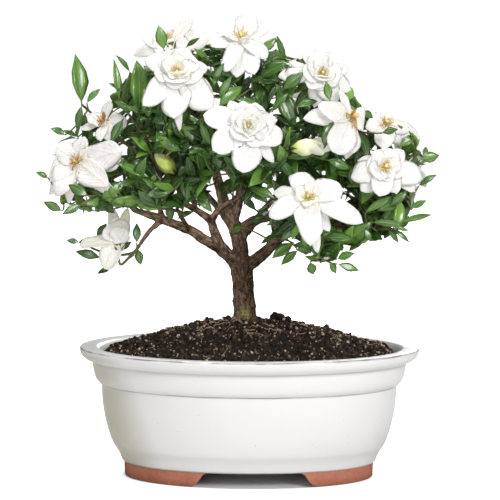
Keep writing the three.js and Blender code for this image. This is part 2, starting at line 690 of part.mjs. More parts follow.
// The leaves of a shoot, as places that the curve, the whorls and the random draw give.
function leafPlaces(curve, [whorls, count, size], random) {
  const leaves = [];
  const first = random() * 2 * Math.PI;
  for (let whorl = 0; whorl < whorls; whorl++) {
    const top = whorls === 1 ? WHORLS.highest : mix(WHORLS.lowest, WHORLS.highest, whorl / (whorls - 1));
    for (let i = 0; i < count; i++) {
      const share = top - i * WHORLS.step;
      const start = curve.getPoint(share);
      const along = curve.getTangent(share);
      const side = along.clone().cross(Math.abs(along.z) > 0.9 ? point([1, 0, 0]) : UP).normalize();
      const front = side.clone().cross(along);
      const angle = first + (i + whorl / 2) * 2 * Math.PI / count + (random() - 0.5) * LEAF_STRAY.angle;
      const lean = radians(mix(LEAF_LEAN.foot, LEAF_LEAN.tip, share) + (random() - 0.5) * LEAF_STRAY.lean);
      const length = size * (LEAF_LENGTH.least + LEAF_LENGTH.more * random());
      const outward = start.clone().sub(CROWN_MIDDLE).normalize();
      const leaf = LEAF_TRIES.map((turn) => {
        const ray = side.clone().multiplyScalar(Math.cos(angle + turn))
          .addScaledVector(front, Math.sin(angle + turn));
        const { direction, face } = leaning({ axis: along }, ray, lean);
        face.addScaledVector(outward, LEAF_TURN.outward).addScaledVector(UP, LEAF_TURN.upward);
        return { start, direction, face, length };
      }).find(({ direction }) => ![0.55, 1].some((part) => (
        insideBloom(start.clone().addScaledVector(direction, part * length)))));
      if (leaf) leaves.push(leaf);
    }
  }
  return leaves;
}

function leafToward(start, tip, along) {
  const direction = tip.clone().sub(start);
  const face = start.clone().sub(CROWN_MIDDLE).addScaledVector(UP, 20).addScaledVector(along, -1);
  return { start, direction, face, length: direction.length() };
}

const blocked = [];

// The shoots of a spray, one above the other on the short stalk that goes on from the limb's end.
function shootsOf(name, shoots) {
  const { place, along, radius } = limbEnd(LIMBS[name]);
  const at = (height) => place.clone().addScaledVector(along, height);
  const top = FIRST_SHOOT + SHOOT_SPACING * (shoots.length - 1) + STALK_TIP;
  const stalk = [CLEARANCE, top].map((height) => [...at(height).toArray(), radius]);
  const stems = [limb(stalk, STALK_SIDES)];
  const curves = shoots.map((shoot, i) => {
    const curve = shootCurve(shoot, at(FIRST_SHOOT + SHOOT_SPACING * i), along);
    const spots = curve.getPoints(SHOOT_STEPS);
    const stem = limb(spots.map((spot) => [...spot.toArray(), SHOOT_RADIUS]), SHOOT_SIDES);
    const neighbour = neighbourOf(stem, `spray_${name}`);
    if (neighbour) blocked.push(`shoot ${i} of ${name} by ${neighbour}`);
    stems.push(stem);
    return curve;
  });
  return { curves, stem: stand(`spray_${name}`, joined(stems)) };
}

function spraySolid(name, shoots, { curves, stem }, seed) {
  const leaves = shoots.flatMap((shoot, i) => [
    ...(shoot.leaves ? leafPlaces(curves[i], shoot.leaves, randomFrom(seed + i * SEEDS.shootStep)) : []),
    ...(shoot.leafTip ? [leafToward(point(shoot.end), point(shoot.leafTip), curves[i].getTangent(1))] : []),
  ]);
  const blades = [];
  for (const { start, direction, face, length } of leaves) {
    const root = start.clone().addScaledVector(direction, -LEAF_ROOT);
    const blade = placedBlade(leafShape(length + LEAF_ROOT), root, direction, face);
    if (isClear(blade, `spray_${name}`) && blades.every((other) => blade.minGap(other, 1) > 0)) {
      blades.push(blade);
    }
  }
  return mainBody(joined([stem, ...blades]));
}

// Materials

const material = (color, roughness) => new THREE.MeshStandardMaterial({ color, roughness, metalness: 0 });
const GLAZE = material(0xebe6e3, 0.18);
const SCREEN_PLASTIC = material(0x23241f, 0.6);
const EARTH = material(0x2a211b, 0.95);
const BARK = material(0x5b463a, 0.85);
const LEAF = material(0x2f6b24, 0.38);
const PETAL = material(0xf6f3ee, 0.55);
const HEART_YELLOW = material(0xe0b45a, 0.6);
const BUD_GREEN = material(0xa9b94a, 0.5);

// The whole object, moved so that the origin is under its middle

const gardenia = new THREE.Group();
const add = (name, solid, finish) => gardenia.add(meshFrom(name, stand(name, solid), finish));

add('pot', potSolid(), GLAZE);
add('drain_screen_left', screenSolid(-DRAIN_HOLE.offset), SCREEN_PLASTIC);
add('drain_screen_right', screenSolid(DRAIN_HOLE.offset), SCREEN_PLASTIC);
add('soil', soilSolid(), EARTH);
add('tree', treeSolid(), BARK);
Object.entries(BUDS).forEach(([name, bud]) => add(`bud_${name}`, budSolid(bud), BUD_GREEN));
Object.entries(BLOOMS).forEach(([name, bloom], i) => {
  add(`bloom_${name}`, bloomSolid(bloom, SEEDS.blooms + i * SEEDS.bloomStep), PETAL);
  add(`heart_${name}`, clearHeart(bloom), HEART_YELLOW);
});
const stems = Object.entries(SPRAYS).map(([name, shoots]) => shootsOf(name, shoots));
Object.entries(SPRAYS).forEach(([name, shoots], i) => {
  add(`spray_${name}`, spraySolid(name, shoots, stems[i], SEEDS.sprays + i * SEEDS.sprayStep), LEAF);
});
if (blocked.length) throw new Error(`these shoots come too near: ${blocked.join(', ')}`);

const box = new THREE.Box3().setFromObject(gardenia);
const middle = box.getCenter(new THREE.Vector3());
gardenia.position.set(-middle.x, -middle.y, -box.min.z);
gardenia.updateMatrixWorld(true);

export default gardenia;
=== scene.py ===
"""Potted gardenia: a small flowering tree in an oval glazed pot that stands on two clay feet.

Pieces are shaped in millimetres round the pot's middle and then moved to the frame, in metres.
"""

import math

import bmesh
import bpy
from mathutils import Matrix, Vector, kdtree, noise


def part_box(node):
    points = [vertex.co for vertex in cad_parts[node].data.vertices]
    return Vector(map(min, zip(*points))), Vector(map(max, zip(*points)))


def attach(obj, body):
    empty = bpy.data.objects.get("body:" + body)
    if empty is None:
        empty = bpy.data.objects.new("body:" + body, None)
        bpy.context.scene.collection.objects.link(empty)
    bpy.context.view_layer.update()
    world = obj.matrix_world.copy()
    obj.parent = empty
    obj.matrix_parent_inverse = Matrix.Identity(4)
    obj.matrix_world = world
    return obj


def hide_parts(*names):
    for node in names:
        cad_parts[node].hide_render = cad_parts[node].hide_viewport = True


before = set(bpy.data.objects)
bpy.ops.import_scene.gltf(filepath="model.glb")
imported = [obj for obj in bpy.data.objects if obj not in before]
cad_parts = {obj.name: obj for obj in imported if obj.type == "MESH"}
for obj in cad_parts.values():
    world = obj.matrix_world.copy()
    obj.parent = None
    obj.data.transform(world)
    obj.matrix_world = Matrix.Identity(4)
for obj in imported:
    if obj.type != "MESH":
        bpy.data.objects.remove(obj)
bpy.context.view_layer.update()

bl_info = {
    "name": "Potted Gardenia",
    "version": (1, 0, 0),
    "blender": (4, 5, 0),
    "location": "View3D > Sidebar > Gardenia",
    "description": "A small flowering gardenia tree in an oval glazed pot",
    "category": "Object",
}

MM = 0.001
POT_LOW, POT_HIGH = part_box("pot")
POT_MIDDLE = (POT_LOW + POT_HIGH) / 2
PLACE = Matrix.Translation((POT_MIDDLE.x, POT_MIDDLE.y, 0)) @ Matrix.Scale(MM, 4)
UP = Vector((0, 0, 1))
MERGE = 0.002
FULL_TURN = 2 * math.pi


# Sizes and colours that a user would change


class GardeniaSizes(bpy.types.PropertyGroup):
    leaf_width: bpy.props.FloatProperty(
        name="Leaf width", description="Width of a leaf as a share of its length", default=0.38,
        min=0.2, max=0.6, subtype="FACTOR")
    petal_thickness: bpy.props.FloatProperty(
        name="Petal thickness", description="Thickness of a petal in its middle",
        default=0.45 * MM, unit="LENGTH")
    crumbs: bpy.props.IntProperty(
        name="Soil crumbs", description="Number of loose crumbs on the soil", default=3400, min=0,
        max=5000)


def colour(name, description, default):
    return bpy.props.FloatVectorProperty(
        name=name, description=description, default=default, subtype="COLOR", min=0, max=1)


class GardeniaColours(bpy.types.PropertyGroup):
    glaze: colour("Glaze", "White glaze of the pot", (0.76, 0.755, 0.75))
    clay: colour("Clay", "Bare clay of the feet", (0.35, 0.118, 0.072))
    soil: colour("Soil", "Damp soil", (0.030, 0.021, 0.016))
    bark: colour("Bark", "Bark of the trunk", (0.038, 0.022, 0.013))
    leaf: colour("Leaf", "Upper face of a leaf", (0.060, 0.165, 0.018))
    leaf_back: colour("Leaf back", "Under face of a leaf", (0.16, 0.28, 0.07))
    shoot: colour("Shoot", "Green shoots and stalks", (0.10, 0.14, 0.035))
    petal: colour("Petal", "Petals of the blooms", (0.775, 0.77, 0.762))
    heart: colour("Heart", "Club in the middle of a bloom", (0.66, 0.40, 0.13))
    anther: colour("Anther", "Anthers round the club", (0.40, 0.18, 0.05))
    bud: colour("Bud", "Furled petals of a bud", (0.76, 0.84, 0.22))


def sizes():
    return bpy.context.scene.gardenia_sizes


def colours():
    return bpy.context.scene.gardenia_colours


# Numbers, lines and curves


class Draws:
    """A repeatable stream of numbers from 0 to 1."""

    def __init__(self, seed):
        self.state = seed

    def __call__(self):
        self.state = (self.state * 1664525 + 1013904223) % 4294967296
        return self.state / 4294967296

    def about(self, middle, spread):
        return middle + (self() - 0.5) * spread


# The first number of each stream, and the steps from one bloom, spray or shoot to the next
SEEDS = {"crumbs": (40,), "rootlets": (77,), "petals": (500, 37), "back_petals": (7000, 31),
         "heart": (900, 17), "bud": (61,), "leaf_forms": (20,), "spray": (3000, 53),
         "cad_leaves": (1000, 977, 101)}


def draws_for(key, *index):
    first, *steps = SEEDS[key]
    return Draws(first + sum(step * i for step, i in zip(steps, index)))


def mix(low, high, share):
    return low + (high - low) * share


def smooth_line(rows, steps):
    """The rows of numbers with a smooth curve through them, in steps parts between two."""
    points = []
    last = len(rows) - 1
    for i in range(last):
        around = (rows[max(i - 1, 0)], rows[i], rows[i + 1], rows[min(i + 2, last)])
        for step in range(steps):
            t = step / steps
            points.append(tuple(
                0.5 * (2 * b + (c - a) * t + (2 * a - 5 * b + 4 * c - d) * t * t
                       + (3 * b - a - 3 * c + d) * t * t * t)
                for a, b, c, d in zip(*around)))
    points.append(tuple(rows[last]))
    return points


def table_value(table, share):
    """The value at share in a table of (share, value), straight between its rows."""
    for (low, first), (high, second) in zip(table, table[1:]):
        if share <= high:
            return mix(first, second, (share - low) / (high - low)) if high > low else second
    return table[-1][1]


def bezier(points, share):
    points = list(points)
    while len(points) > 1:
        points = [a.lerp(b, share) for a, b in zip(points, points[1:])]
    return points[0]


def on_curve(points, parts):
    return [bezier(points, i / parts) for i in range(parts + 1)]


def tangent(points, share):
    step = 0.0001
    ahead = bezier(points, min(share + step, 1))
    return (ahead - bezier(points, max(share - step, 0))).normalized()


def across_of(along):
    return along.cross(Vector((1, 0, 0)) if abs(along.z) > 0.9 else UP).normalized()


def ray_round(along, angle):
    """A direction square to the way along, at an angle round it."""
    side = across_of(along)
    return side * math.cos(angle) + side.cross(along) * math.sin(angle)


def leaning(axis, ray, lean):
    """The direction that leans from the axis towards the ray, and the way its upper face looks."""
    over, aside = math.cos(lean), math.sin(lean)
    return axis * over + ray * aside, axis * aside - ray * over


def nearest_finder(places):
    tree = kdtree.KDTree(len(places))
    for i, place in enumerate(places):
        tree.insert(place, i)
    tree.balance()
    return tree


# Shapes


def sheet(bm, across, along, place, material=0):
    """A grid whose points place(u, v) gives, u and v from 0 to 1."""
    made = bmesh.ops.create_grid(
        bm, x_segments=across, y_segments=along, size=0.5, calc_uvs=True)["verts"]
    for vertex in made:
        vertex.co = place(vertex.co.x + 0.5, vertex.co.y + 0.5)
    if material:
        for face in {face for vertex in made for face in vertex.link_faces}:
            face.material_index = material
    return made


def merged(bm, vertices):
    """Joins the vertices that lie together, and gives those that stay."""
    bmesh.ops.remove_doubles(bm, verts=[v for v in vertices if v.is_valid], dist=MERGE)
    return [v for v in vertices if v.is_valid]


def mark(bm, vertices, **values):
    """Writes values such as the tone on the vertices."""
    for label, value in values.items():
        layer = bm.verts.layers.float[label]
        for vertex in vertices:
            vertex[layer] = value


def tube(bm, rings, sides, material=0, swell=None):
    """A round limb through rings of (x, y, z, radius), with closed ends."""
    places = [Vector(ring[:3]) for ring in rings]
    last = len(places) - 1
    frames = []
    side = None
    for i in range(last + 1):
        along = (places[min(i + 1, last)] - places[max(i - 1, 0)]).normalized()
        side = across_of(along) if side is None else (side - along * side.dot(along)).normalized()
        frames.append((side.copy(), along.cross(side)))
    stations = [0, *range(last + 1), last]

    def place(u, v):
        row = round(v * (last + 2))
        i = stations[row]
        radius = 0 if row in (0, last + 2) else rings[i][3]
        angle = u * FULL_TURN
        if swell:
            radius *= swell(angle, i)
        across, front = frames[i]
        return places[i] + (across * math.cos(angle) + front * math.sin(angle)) * radius

    return merged(bm, sheet(bm, sides, last + 2, place, material))


def new_shape():
    """An empty shape with the map along a blade, and the tone and the age of each blade."""
    bm = bmesh.new()
    bm.loops.layers.uv.new("blade")
    for label in ("tone", "age"):
        bm.verts.layers.float.new(label)
    return bm


# How a blade is bent. It curls up along its length from a share set by late, and once more at its
# tip; its edges are lifted by cup, ruffle, crease, roll and pleat; twist, lean, round and lobe
# change its outline. Angles are in radians and the others in shares of the half width.
BLADE_FORM = {"curl": 0, "late": 1.5, "tip": 0, "cup": 0, "tip_cup": 0, "ruffle": 0, "phase": 0,
              "waves": 0, "crease": 0, "roll": 0, "pleat": 0, "twist": 0, "lean": 0, "round": 0,
              "lobe": 0, "lobe_waves": 0}
OTHER_SIDE_RUFFLE = 2.1
OTHER_SIDE_LOBE = 2.4
PLEATS = 9


def blade(bm, rows, across, length, width, form, thickness, finishes=(0, 0), matrix=None):
    """A thin leaf or petal along +X with its upper face to +Z, closed round its edge.

    Each row is (share of the length, share of the half width).
    """
    form = {**BLADE_FORM, **form}
    last = len(rows) - 1
    spine = []
    x = z = before = 0.0
    for share, _ in rows:
        middle = (before + share) / 2
        turn = form["curl"] * middle ** form["late"] + form["tip"] * middle ** 6
        x += math.cos(turn) * (share - before) * length
        z += math.sin(turn) * (share - before) * length
        before = share
        spine.append((x, z, form["curl"] * share ** form["late"] + form["tip"] * share ** 6))

    def place(u, v, side):
        i = round(v * last)
        share, half = rows[i][0], rows[i][1] * width / 2
        u = (2 * u - 1) * side
        half *= 1 + form["lobe"] * math.sin(
            form["phase"] + form["lobe_waves"] * share + (OTHER_SIDE_LOBE if u > 0 else 0))
        x, z, turn = spine[i]
        rise = mix(form["cup"], form["tip_cup"], share) * u * u
        wave = form["phase"] + form["waves"] * share + (OTHER_SIDE_RUFFLE if u > 0 else 0)
        rise += form["ruffle"] * math.sin(wave) * abs(u) ** 2.5
        rise += form["crease"] * abs(u)
        rise += form["roll"] * max(0.0, u if form["roll"] > 0 else -u) ** 4 * share
        rise += form["pleat"] * math.cos(PLEATS * u + form["phase"]) * (1 - share)
        rise *= half
        lean = form["twist"] * share
        aside = half * u + form["lean"] * half * share * (1 - share) * 2
        y = aside * math.cos(lean) - rise * math.sin(lean)
        rise = aside * math.sin(lean) + rise * math.cos(lean)
        ends = 0 if i in (0, last) else 1
        rise += side * thickness / 2 * (1 - u ** 4) * ends
        x -= form["round"] * length * u * u * share ** 6
        return Vector((x - math.sin(turn) * rise, y, z + math.cos(turn) * rise))

    made = sheet(bm, across, last, lambda u, v: place(u, v, 1), finishes[0])
    made += sheet(bm, across, last, lambda u, v: place(u, v, -1), finishes[1])
    made = merged(bm, made)
    if matrix is not None:
        bmesh.ops.transform(bm, matrix=matrix, verts=made)
    return made


def basis(start, direction, face, scale=(1, 1, 1)):
    """The matrix that takes a blade along +X to its place."""
    along = direction.normalized()
    left = face.cross(along).normalized()
    up = along.cross(left)
    turned = Matrix((along * scale[0], left * scale[1], up * scale[2])).transposed()
    return Matrix.Translation(start) @ turned.to_4x4()


def stamp(bm, template, matrix, tone):
    """Adds a ready shape at matrix to bm, from which nothing has been removed."""
    before = len(bm.verts)
    bm.from_mesh(template)
    bm.verts.ensure_lookup_table()
    made = bm.verts[before:]
    bmesh.ops.transform(bm, matrix=matrix, verts=made)
    mark(bm, made, tone=tone)


def mesh_from(bm, name):
    mesh = bpy.data.meshes.new(name)
    bm.to_mesh(mesh)
    bm.free()
    return mesh


def new_object(name, data):
    made = bpy.data.objects.new(name, data)
    bpy.context.scene.collection.objects.link(made)
    return made


def joined(bm, other):
    """The first shape with all of the other in it."""
    mesh = mesh_from(other, "other")
    bm.from_mesh(mesh)
    bpy.data.meshes.remove(mesh)
    return bm


def modified(bm, *modifiers):
    """The shape with modifiers applied, given as (kind, settings)."""
    mesh = mesh_from(bm, "unfinished")
    body = new_object("unfinished", mesh)
    for kind, settings in modifiers:
        modifier = body.modifiers.new(kind.lower(), kind)
        for key, value in settings.items():
            setattr(modifier, key, value)
    depsgraph = bpy.context.evaluated_depsgraph_get()
    depsgraph.update()
    made = bpy.data.meshes.new_from_object(body.evaluated_get(depsgraph))
    result = bmesh.new()
    result.from_mesh(made)
    bpy.data.objects.remove(body)
    bpy.data.meshes.remove(mesh)
    bpy.data.meshes.remove(made)
    return result


def carved(bm, tool):
    """The shape with the tool's shape cut out of it."""
    mesh = mesh_from(tool, "cutter")
    cutter = new_object("cutter", mesh)
    result = modified(
        bm, ("BOOLEAN", {"object": cutter, "operation": "DIFFERENCE", "solver": "EXACT"}))
    bpy.data.objects.remove(cutter)
    bpy.data.meshes.remove(mesh)
    return result


def new_piece(name, bm, finishes, slot, *nodes):
    """Places a finished shape in the frame as a piece that rides on the part's one body."""
    bmesh.ops.transform(bm, matrix=PLACE, verts=bm.verts)
    mesh = mesh_from(bm, name)
    mesh.shade_smooth()
    for finish in finishes:
        mesh.materials.append(finished(finish))
    piece = new_object(name, mesh)
    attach(piece, "root")
    if nodes:
        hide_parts(*nodes)
    return piece


# Nodes, and the effects that more than one finish uses


def shade(value):
    return value if isinstance(value, bpy.types.NodeSocket) else (*value, 1)


class Nodes:
    """Adds nodes to one tree, with inputs given as values or as sockets to link."""

    def __init__(self, tree):
        self.tree = tree

    def add(self, kind, inputs=None, **settings):
        made = self.tree.nodes.new(kind)
        for key, value in settings.items():
            setattr(made, key, value)
        for key, value in (inputs or {}).items():
            if isinstance(value, bpy.types.NodeSocket):
                self.tree.links.new(value, made.inputs[key])
            else:
                made.inputs[key].default_value = value
        return made

    def span(self, value, low, high, first=0.0, second=1.0):
        return self.add("ShaderNodeMapRange", {
            "Value": value, "From Min": low, "From Max": high, "To Min": first, "To Max": second,
        }).outputs["Result"]

    def sums(self, operation, *values, clamp=False):
        return self.add("ShaderNodeMath", dict(enumerate(values)), operation=operation,
                        use_clamp=clamp).outputs[0]

    def chained(self, operation, values):
        first, *rest = values
        for value in rest:
            first = self.sums(operation, first, value)
        return first

    def times(self, *values):
        return self.chained("MULTIPLY", values)

    def plus(self, *values):
        return self.chained("ADD", values)

    def most(self, *values):
        return self.chained("MAXIMUM", values)

    def parts(self, vector):
        return self.add("ShaderNodeSeparateXYZ", {"Vector": vector}).outputs


class Effect(Nodes):
    """A shader node group with named inputs, each with its usual value, and named masks."""

    def __init__(self, name, inputs, outputs):
        super().__init__(bpy.data.node_groups.new(name, "ShaderNodeTree"))
        for label, usual in inputs.items():
            kind = "NodeSocketVector" if usual is None else "NodeSocketFloat"
            socket = self.tree.interface.new_socket(name=label, in_out="INPUT", socket_type=kind)
            if usual is not None:
                socket.default_value = usual
        for label in outputs:
            self.tree.interface.new_socket(
                name=label, in_out="OUTPUT", socket_type="NodeSocketFloat")
        self.given = self.tree.nodes.new("NodeGroupInput").outputs
        self.out = self.tree.nodes.new("NodeGroupOutput").inputs

    def put_out(self, masks):
        for label, value in masks.items():
            self.tree.links.new(value, self.out[label])
        return self.tree


def scattered_specks(name):
    """Small scattered specks."""
    made = Effect(name, {"Vector": None, "Spacing": 400.0, "Size": 0.2, "Share": 0.3}, ["Mask"])
    given = made.given
    cells = made.add("ShaderNodeTexVoronoi",
                     {"Vector": given["Vector"], "Scale": given["Spacing"]}).outputs
    near = made.sums("LESS_THAN", cells["Distance"], given["Size"])
    picked = made.add("ShaderNodeSeparateColor", {"Color": cells["Color"]}).outputs["Red"]
    chosen = made.sums("LESS_THAN", picked, given["Share"])
    return made.put_out({"Mask": made.times(near, chosen)})


def thin_broken_line(name):
    """A thin broken line where a value passes a place."""
    made = Effect(name, {"Value": 0.0, "Place": 0.0, "Width": 0.5, "Vector": None, "Breaks": 60.0,
                         "Least": 0.4}, ["Mask"])
    given = made.given
    wander = made.add("ShaderNodeTexNoise", {
        "Vector": given["Vector"], "Scale": 45.0, "Detail": 3.0}).outputs["Fac"]
    moved = made.plus(given["Value"], made.span(wander, 0.0, 1.0, -0.5, 0.5))
    away = made.sums("ABSOLUTE", made.sums("SUBTRACT", moved, given["Place"]))
    near = made.sums("SUBTRACT", 1.0, made.sums("DIVIDE", away, given["Width"]), clamp=True)
    breaks = made.add("ShaderNodeTexNoise", {
        "Vector": given["Vector"], "Scale": given["Breaks"], "Detail": 4.0}).outputs["Fac"]
    return made.put_out({"Mask": made.times(near, made.span(breaks, given["Least"], 0.62))})


def blade_veins(name):
    """The midrib and the side veins of a blade, from its own map."""
    made = Effect(name, {"Pairs": 9.0, "Slant": 0.28, "Fineness": 0.12},
                  ["Midrib", "Side veins", "Along", "Aside"])
    given = made.given
    place = made.parts(made.add("ShaderNodeUVMap", uv_map="blade").outputs["UV"])
    aside = made.sums("ABSOLUTE", made.span(place["X"], 0.0, 1.0, -1.0, 1.0))
    slanted = made.sums("SUBTRACT", place["Y"], made.times(aside, given["Slant"]))
    wave = made.sums("FRACT", made.times(slanted, given["Pairs"]))
    ridge = made.sums("ABSOLUTE", made.sums("SUBTRACT", wave, 0.5))
    return made.put_out({
        "Midrib": made.span(aside, 0.0, given["Fineness"], 1.0, 0.0),
        "Side veins": made.span(ridge, 0.0, given["Fineness"], 1.0, 0.0),
        "Along": place["Y"], "Aside": aside})


EFFECTS = {effect.__name__: effect for effect in (scattered_specks, thin_broken_line, blade_veins)}


# Finishes


class Finish(Nodes):
    """A material in the making, with the colour that its layers have given so far."""

    def __init__(self, name, base, **constants):
        self.material = bpy.data.materials.new(name)
        self.material.use_nodes = True
        super().__init__(self.material.node_tree)
        self.surface = self.tree.nodes["Principled BSDF"].inputs
        for label, value in constants.items():
            self.surface[label.replace("_", " ")].default_value = value
        self.place = self.tree.nodes.new("ShaderNodeTexCoord").outputs["Object"]
        self.colour = base

    def attribute(self, name, output="Fac"):
        return self.add("ShaderNodeAttribute", attribute_name=name).outputs[output]

    def mottle(self, scale, low=0.3, high=0.7, detail=4.0, vector=None, **more):
        """A noise from 0 to 1, with its middle between low and high stretched over the range."""
        where = self.place if vector is None else vector
        made = self.add("ShaderNodeTexNoise",
                        {"Vector": where, "Scale": scale, "Detail": detail, **more})
        return self.span(made.outputs["Fac"], low, high)

    def effect(self, name, **inputs):
        """One of the shared effects, with this finish's own values."""
        group = bpy.data.node_groups.get(name) or EFFECTS[name](name)
        return self.add("ShaderNodeGroup", inputs, node_tree=group).outputs

    def lay(self, mask, colour, share=1):
        """Lays a colour over the others as far as the mask and the share say."""
        if share != 1:
            mask = self.times(mask, share)
        self.colour = self.add("ShaderNodeMix", {0: mask, 6: shade(self.colour), 7: shade(colour)},
                               data_type="RGBA").outputs[2]

    def done(self, mask, roughness, height=None, bump=0.3, depth=0.001):
        """The material, with its range of roughness over the mask and its grain from height."""
        self.tree.links.new(self.colour, self.surface["Base Color"])
        self.tree.links.new(self.span(mask, 0.0, 1.0, *roughness), self.surface["Roughness"])
        if height is not None:
            made = self.add("ShaderNodeBump",
                            {"Height": height, "Strength": bump, "Distance": depth})
            self.tree.links.new(made.outputs["Normal"], self.surface["Normal"])
        return self.material


def glaze(name):
    made = Finish(name, colours().glaze, Coat_Weight=0.25, Coat_Roughness=0.18)
    arc = made.attribute("arc")
    place = made.parts(made.place)
    clouds = made.mottle(22.0, 0.1, 0.9)
    fine = made.mottle(160.0, 0.1, 0.9)
    made.lay(clouds, (0.735, 0.74, 0.75))
    made.lay(fine, (0.70, 0.68, 0.65), 0.12)
    # Painted shade: the glaze darkens to a yellowish grey towards the pot's left side below the
    # lip, broken by noise.
    aside = made.sums("MULTIPLY_ADD", place["Z"], PAINTED_SHADE_SLANT, place["X"])
    below_lip = made.span(place["Z"], *LIP_HEIGHTS, 1.0, 0.0)
    made.lay(made.times(made.span(aside, *PAINTED_SHADE_SIDE), made.mottle(60.0, 0.05, 0.45), below_lip),
             (0.38, 0.34, 0.20))
    # Dark lines: most are lines in the glaze, and the two under the rim's roll are painted shadow.
    made.lay(made.most(*(
        made.times(made.effect("thin_broken_line", Value=arc, Vector=made.place, Place=at,
                               Width=width, Breaks=breaks, Least=least)["Mask"], strength)
        for at, width, breaks, least, strength in GLAZE_AND_SHADOW_LINES)), (0.13, 0.10, 0.12))
    specks = made.effect("scattered_specks", Vector=made.place, Spacing=330.0, Size=0.085,
                         Share=0.10)
    made.lay(specks["Mask"], (0.16, 0.13, 0.12), 0.6)
    return made.done(fine, (0.26, 0.36), clouds, 0.10, 0.0006)


def clay(name):
    made = Finish(name, colours().clay, Specular_IOR_Level=0.1)
    grit = made.mottle(420.0)
    made.lay(made.mottle(60.0), (0.47, 0.185, 0.120))
    low = made.span(made.parts(made.place)["Z"], 0.0, 0.005, 1.0, 0.0)
    made.lay(low, (0.20, 0.075, 0.055), 0.5)
    made.lay(grit, (0.55, 0.30, 0.22), 0.25)
    return made.done(grit, (0.7, 0.9), grit, 0.35, 0.0004)


def soil(name):
    made = Finish(name, (0.005, 0.004, 0.003), Specular_IOR_Level=0.3)
    tone = made.attribute("tone")
    grit = made.mottle(900.0)
    lumps = made.mottle(300.0, 0.35, 0.65)
    made.lay(lumps, colours().soil)
    specks = made.effect("scattered_specks", Vector=made.place, Spacing=520.0, Size=0.36,
                         Share=0.15)
    made.lay(specks["Mask"], (0.46, 0.35, 0.25), 0.8)
    made.lay(made.span(tone, 0.0, 0.3), (0.110, 0.066, 0.044))
    made.lay(made.span(tone, 0.3, 1.0), (0.74, 0.60, 0.44))
    return made.done(grit, (0.75, 0.95), made.plus(made.times(lumps, 1.4), grit), 0.8, 0.0008)


def bark(name):
    made = Finish(name, colours().bark, Specular_IOR_Level=0.15)
    grain = made.attribute("grain", "Vector")
    painted_highlight = made.attribute("painted_highlight")
    streaks = made.mottle(0.85, 0.45, 0.60, 5.0, grain, Distortion=0.6)
    plates = made.mottle(0.36, 0.44, 0.58, 4.0, grain, Distortion=0.8)
    flakes = made.mottle(900.0, 0.54, 0.66, 2.0)
    made.lay(plates, (0.160, 0.098, 0.060))
    made.lay(made.attribute("young"), (0.25, 0.145, 0.085), 0.35)
    # Painted highlight: pale tan where the wood faces up and to the front left, most on the limbs
    # at the left, broken by noise; the dark streaks fade there.
    made.lay(painted_highlight, (0.60, 0.42, 0.29))
    made.lay(made.times(streaks, made.span(painted_highlight, 0.0, 0.8, 0.85, 0.55)),
             (0.026, 0.015, 0.009))
    made.lay(flakes, (0.42, 0.30, 0.20), 0.55)
    made.lay(made.times(made.attribute("moss"), made.mottle(700.0, 0.36, 0.56)),
             (0.44, 0.40, 0.15))
    height = made.plus(made.times(streaks, -1.2), plates, flakes)
    return made.done(streaks, (0.75, 0.95), height, 0.9, 0.0009)


# Each face of a leaf: its gloss, how fine its veins are, its dark and fresh colours, its roughness
LEAF_FACES = {
    "leaf_front": (0.55, 0.07, (0.007, 0.032, 0.003), (0.250, 0.500, 0.060), (0.30, 0.46)),
    "leaf_back": (0.0, 0.12, (0.070, 0.150, 0.030), (0.300, 0.450, 0.130), (0.55, 0.70)),
}


def leaf_face(name):
    coat, fineness, dark, fresh, roughness = LEAF_FACES[name]
    made = Finish(name, dark, Coat_Weight=coat, Coat_Roughness=0.18)
    veins = made.effect("blade_veins", Pairs=8.0, Slant=0.30, Fineness=fineness)
    tone = made.attribute("tone")
    clouds = made.mottle(140.0)
    middle = colours().leaf if name == "leaf_front" else colours().leaf_back
    made.lay(made.span(tone, 0.0, 0.5), middle)
    made.lay(made.span(tone, 0.5, 1.0), fresh)
    made.lay(clouds, dark, 0.30)
    made.lay(veins["Side veins"], fresh, 0.22)
    made.lay(veins["Midrib"], (0.34, 0.50, 0.16), 0.8)
    height = made.plus(made.times(veins["Side veins"], -0.6), made.times(veins["Midrib"], -1.0))
    return made.done(clouds, roughness, height, 0.5, 0.0005)


# A painted glow that keeps the petals bright in shade, standing in for the light that thin petals
# pass on from behind
PAINTED_PETAL_GLOW = 0.10


def petal(name):
    # The petals glow faintly: painted light, so that they stay bright in shade.
    made = Finish(name, colours().petal, Subsurface_Weight=0.35, Subsurface_Scale=0.003,
                  Subsurface_Radius=(1.0, 0.95, 0.85), Emission_Color=(1, 0.99, 0.97, 1),
                  Emission_Strength=PAINTED_PETAL_GLOW)
    veins = made.effect("blade_veins", Pairs=7.0, Slant=-0.45, Fineness=0.16)
    clouds, fine = made.mottle(120.0), made.mottle(700.0)
    age = made.attribute("age")
    made.lay(clouds, (0.745, 0.745, 0.75), 0.35)
    made.lay(made.attribute("tone"), (0.78, 0.78, 0.46), 0.85)
    made.lay(made.span(veins["Along"], 0.0, 0.30, 0.60, 0.0), (0.80, 0.76, 0.55))
    edge = made.times(made.span(veins["Aside"], 0.86, 1.0), made.mottle(90.0, 0.48, 0.62))
    creases = made.times(made.most(veins["Side veins"], veins["Midrib"]),
                         made.mottle(150.0, 0.50, 0.64))
    made.lay(age, (0.84, 0.70, 0.54), 0.14)
    made.lay(made.times(made.most(edge, creases), age), (0.50, 0.34, 0.21), 0.5)
    height = made.plus(made.times(veins["Side veins"], -0.35), made.times(veins["Midrib"], -0.6),
                       made.times(fine, 0.3), clouds)
    return made.done(fine, (0.45, 0.6), height, 0.5, 0.001)


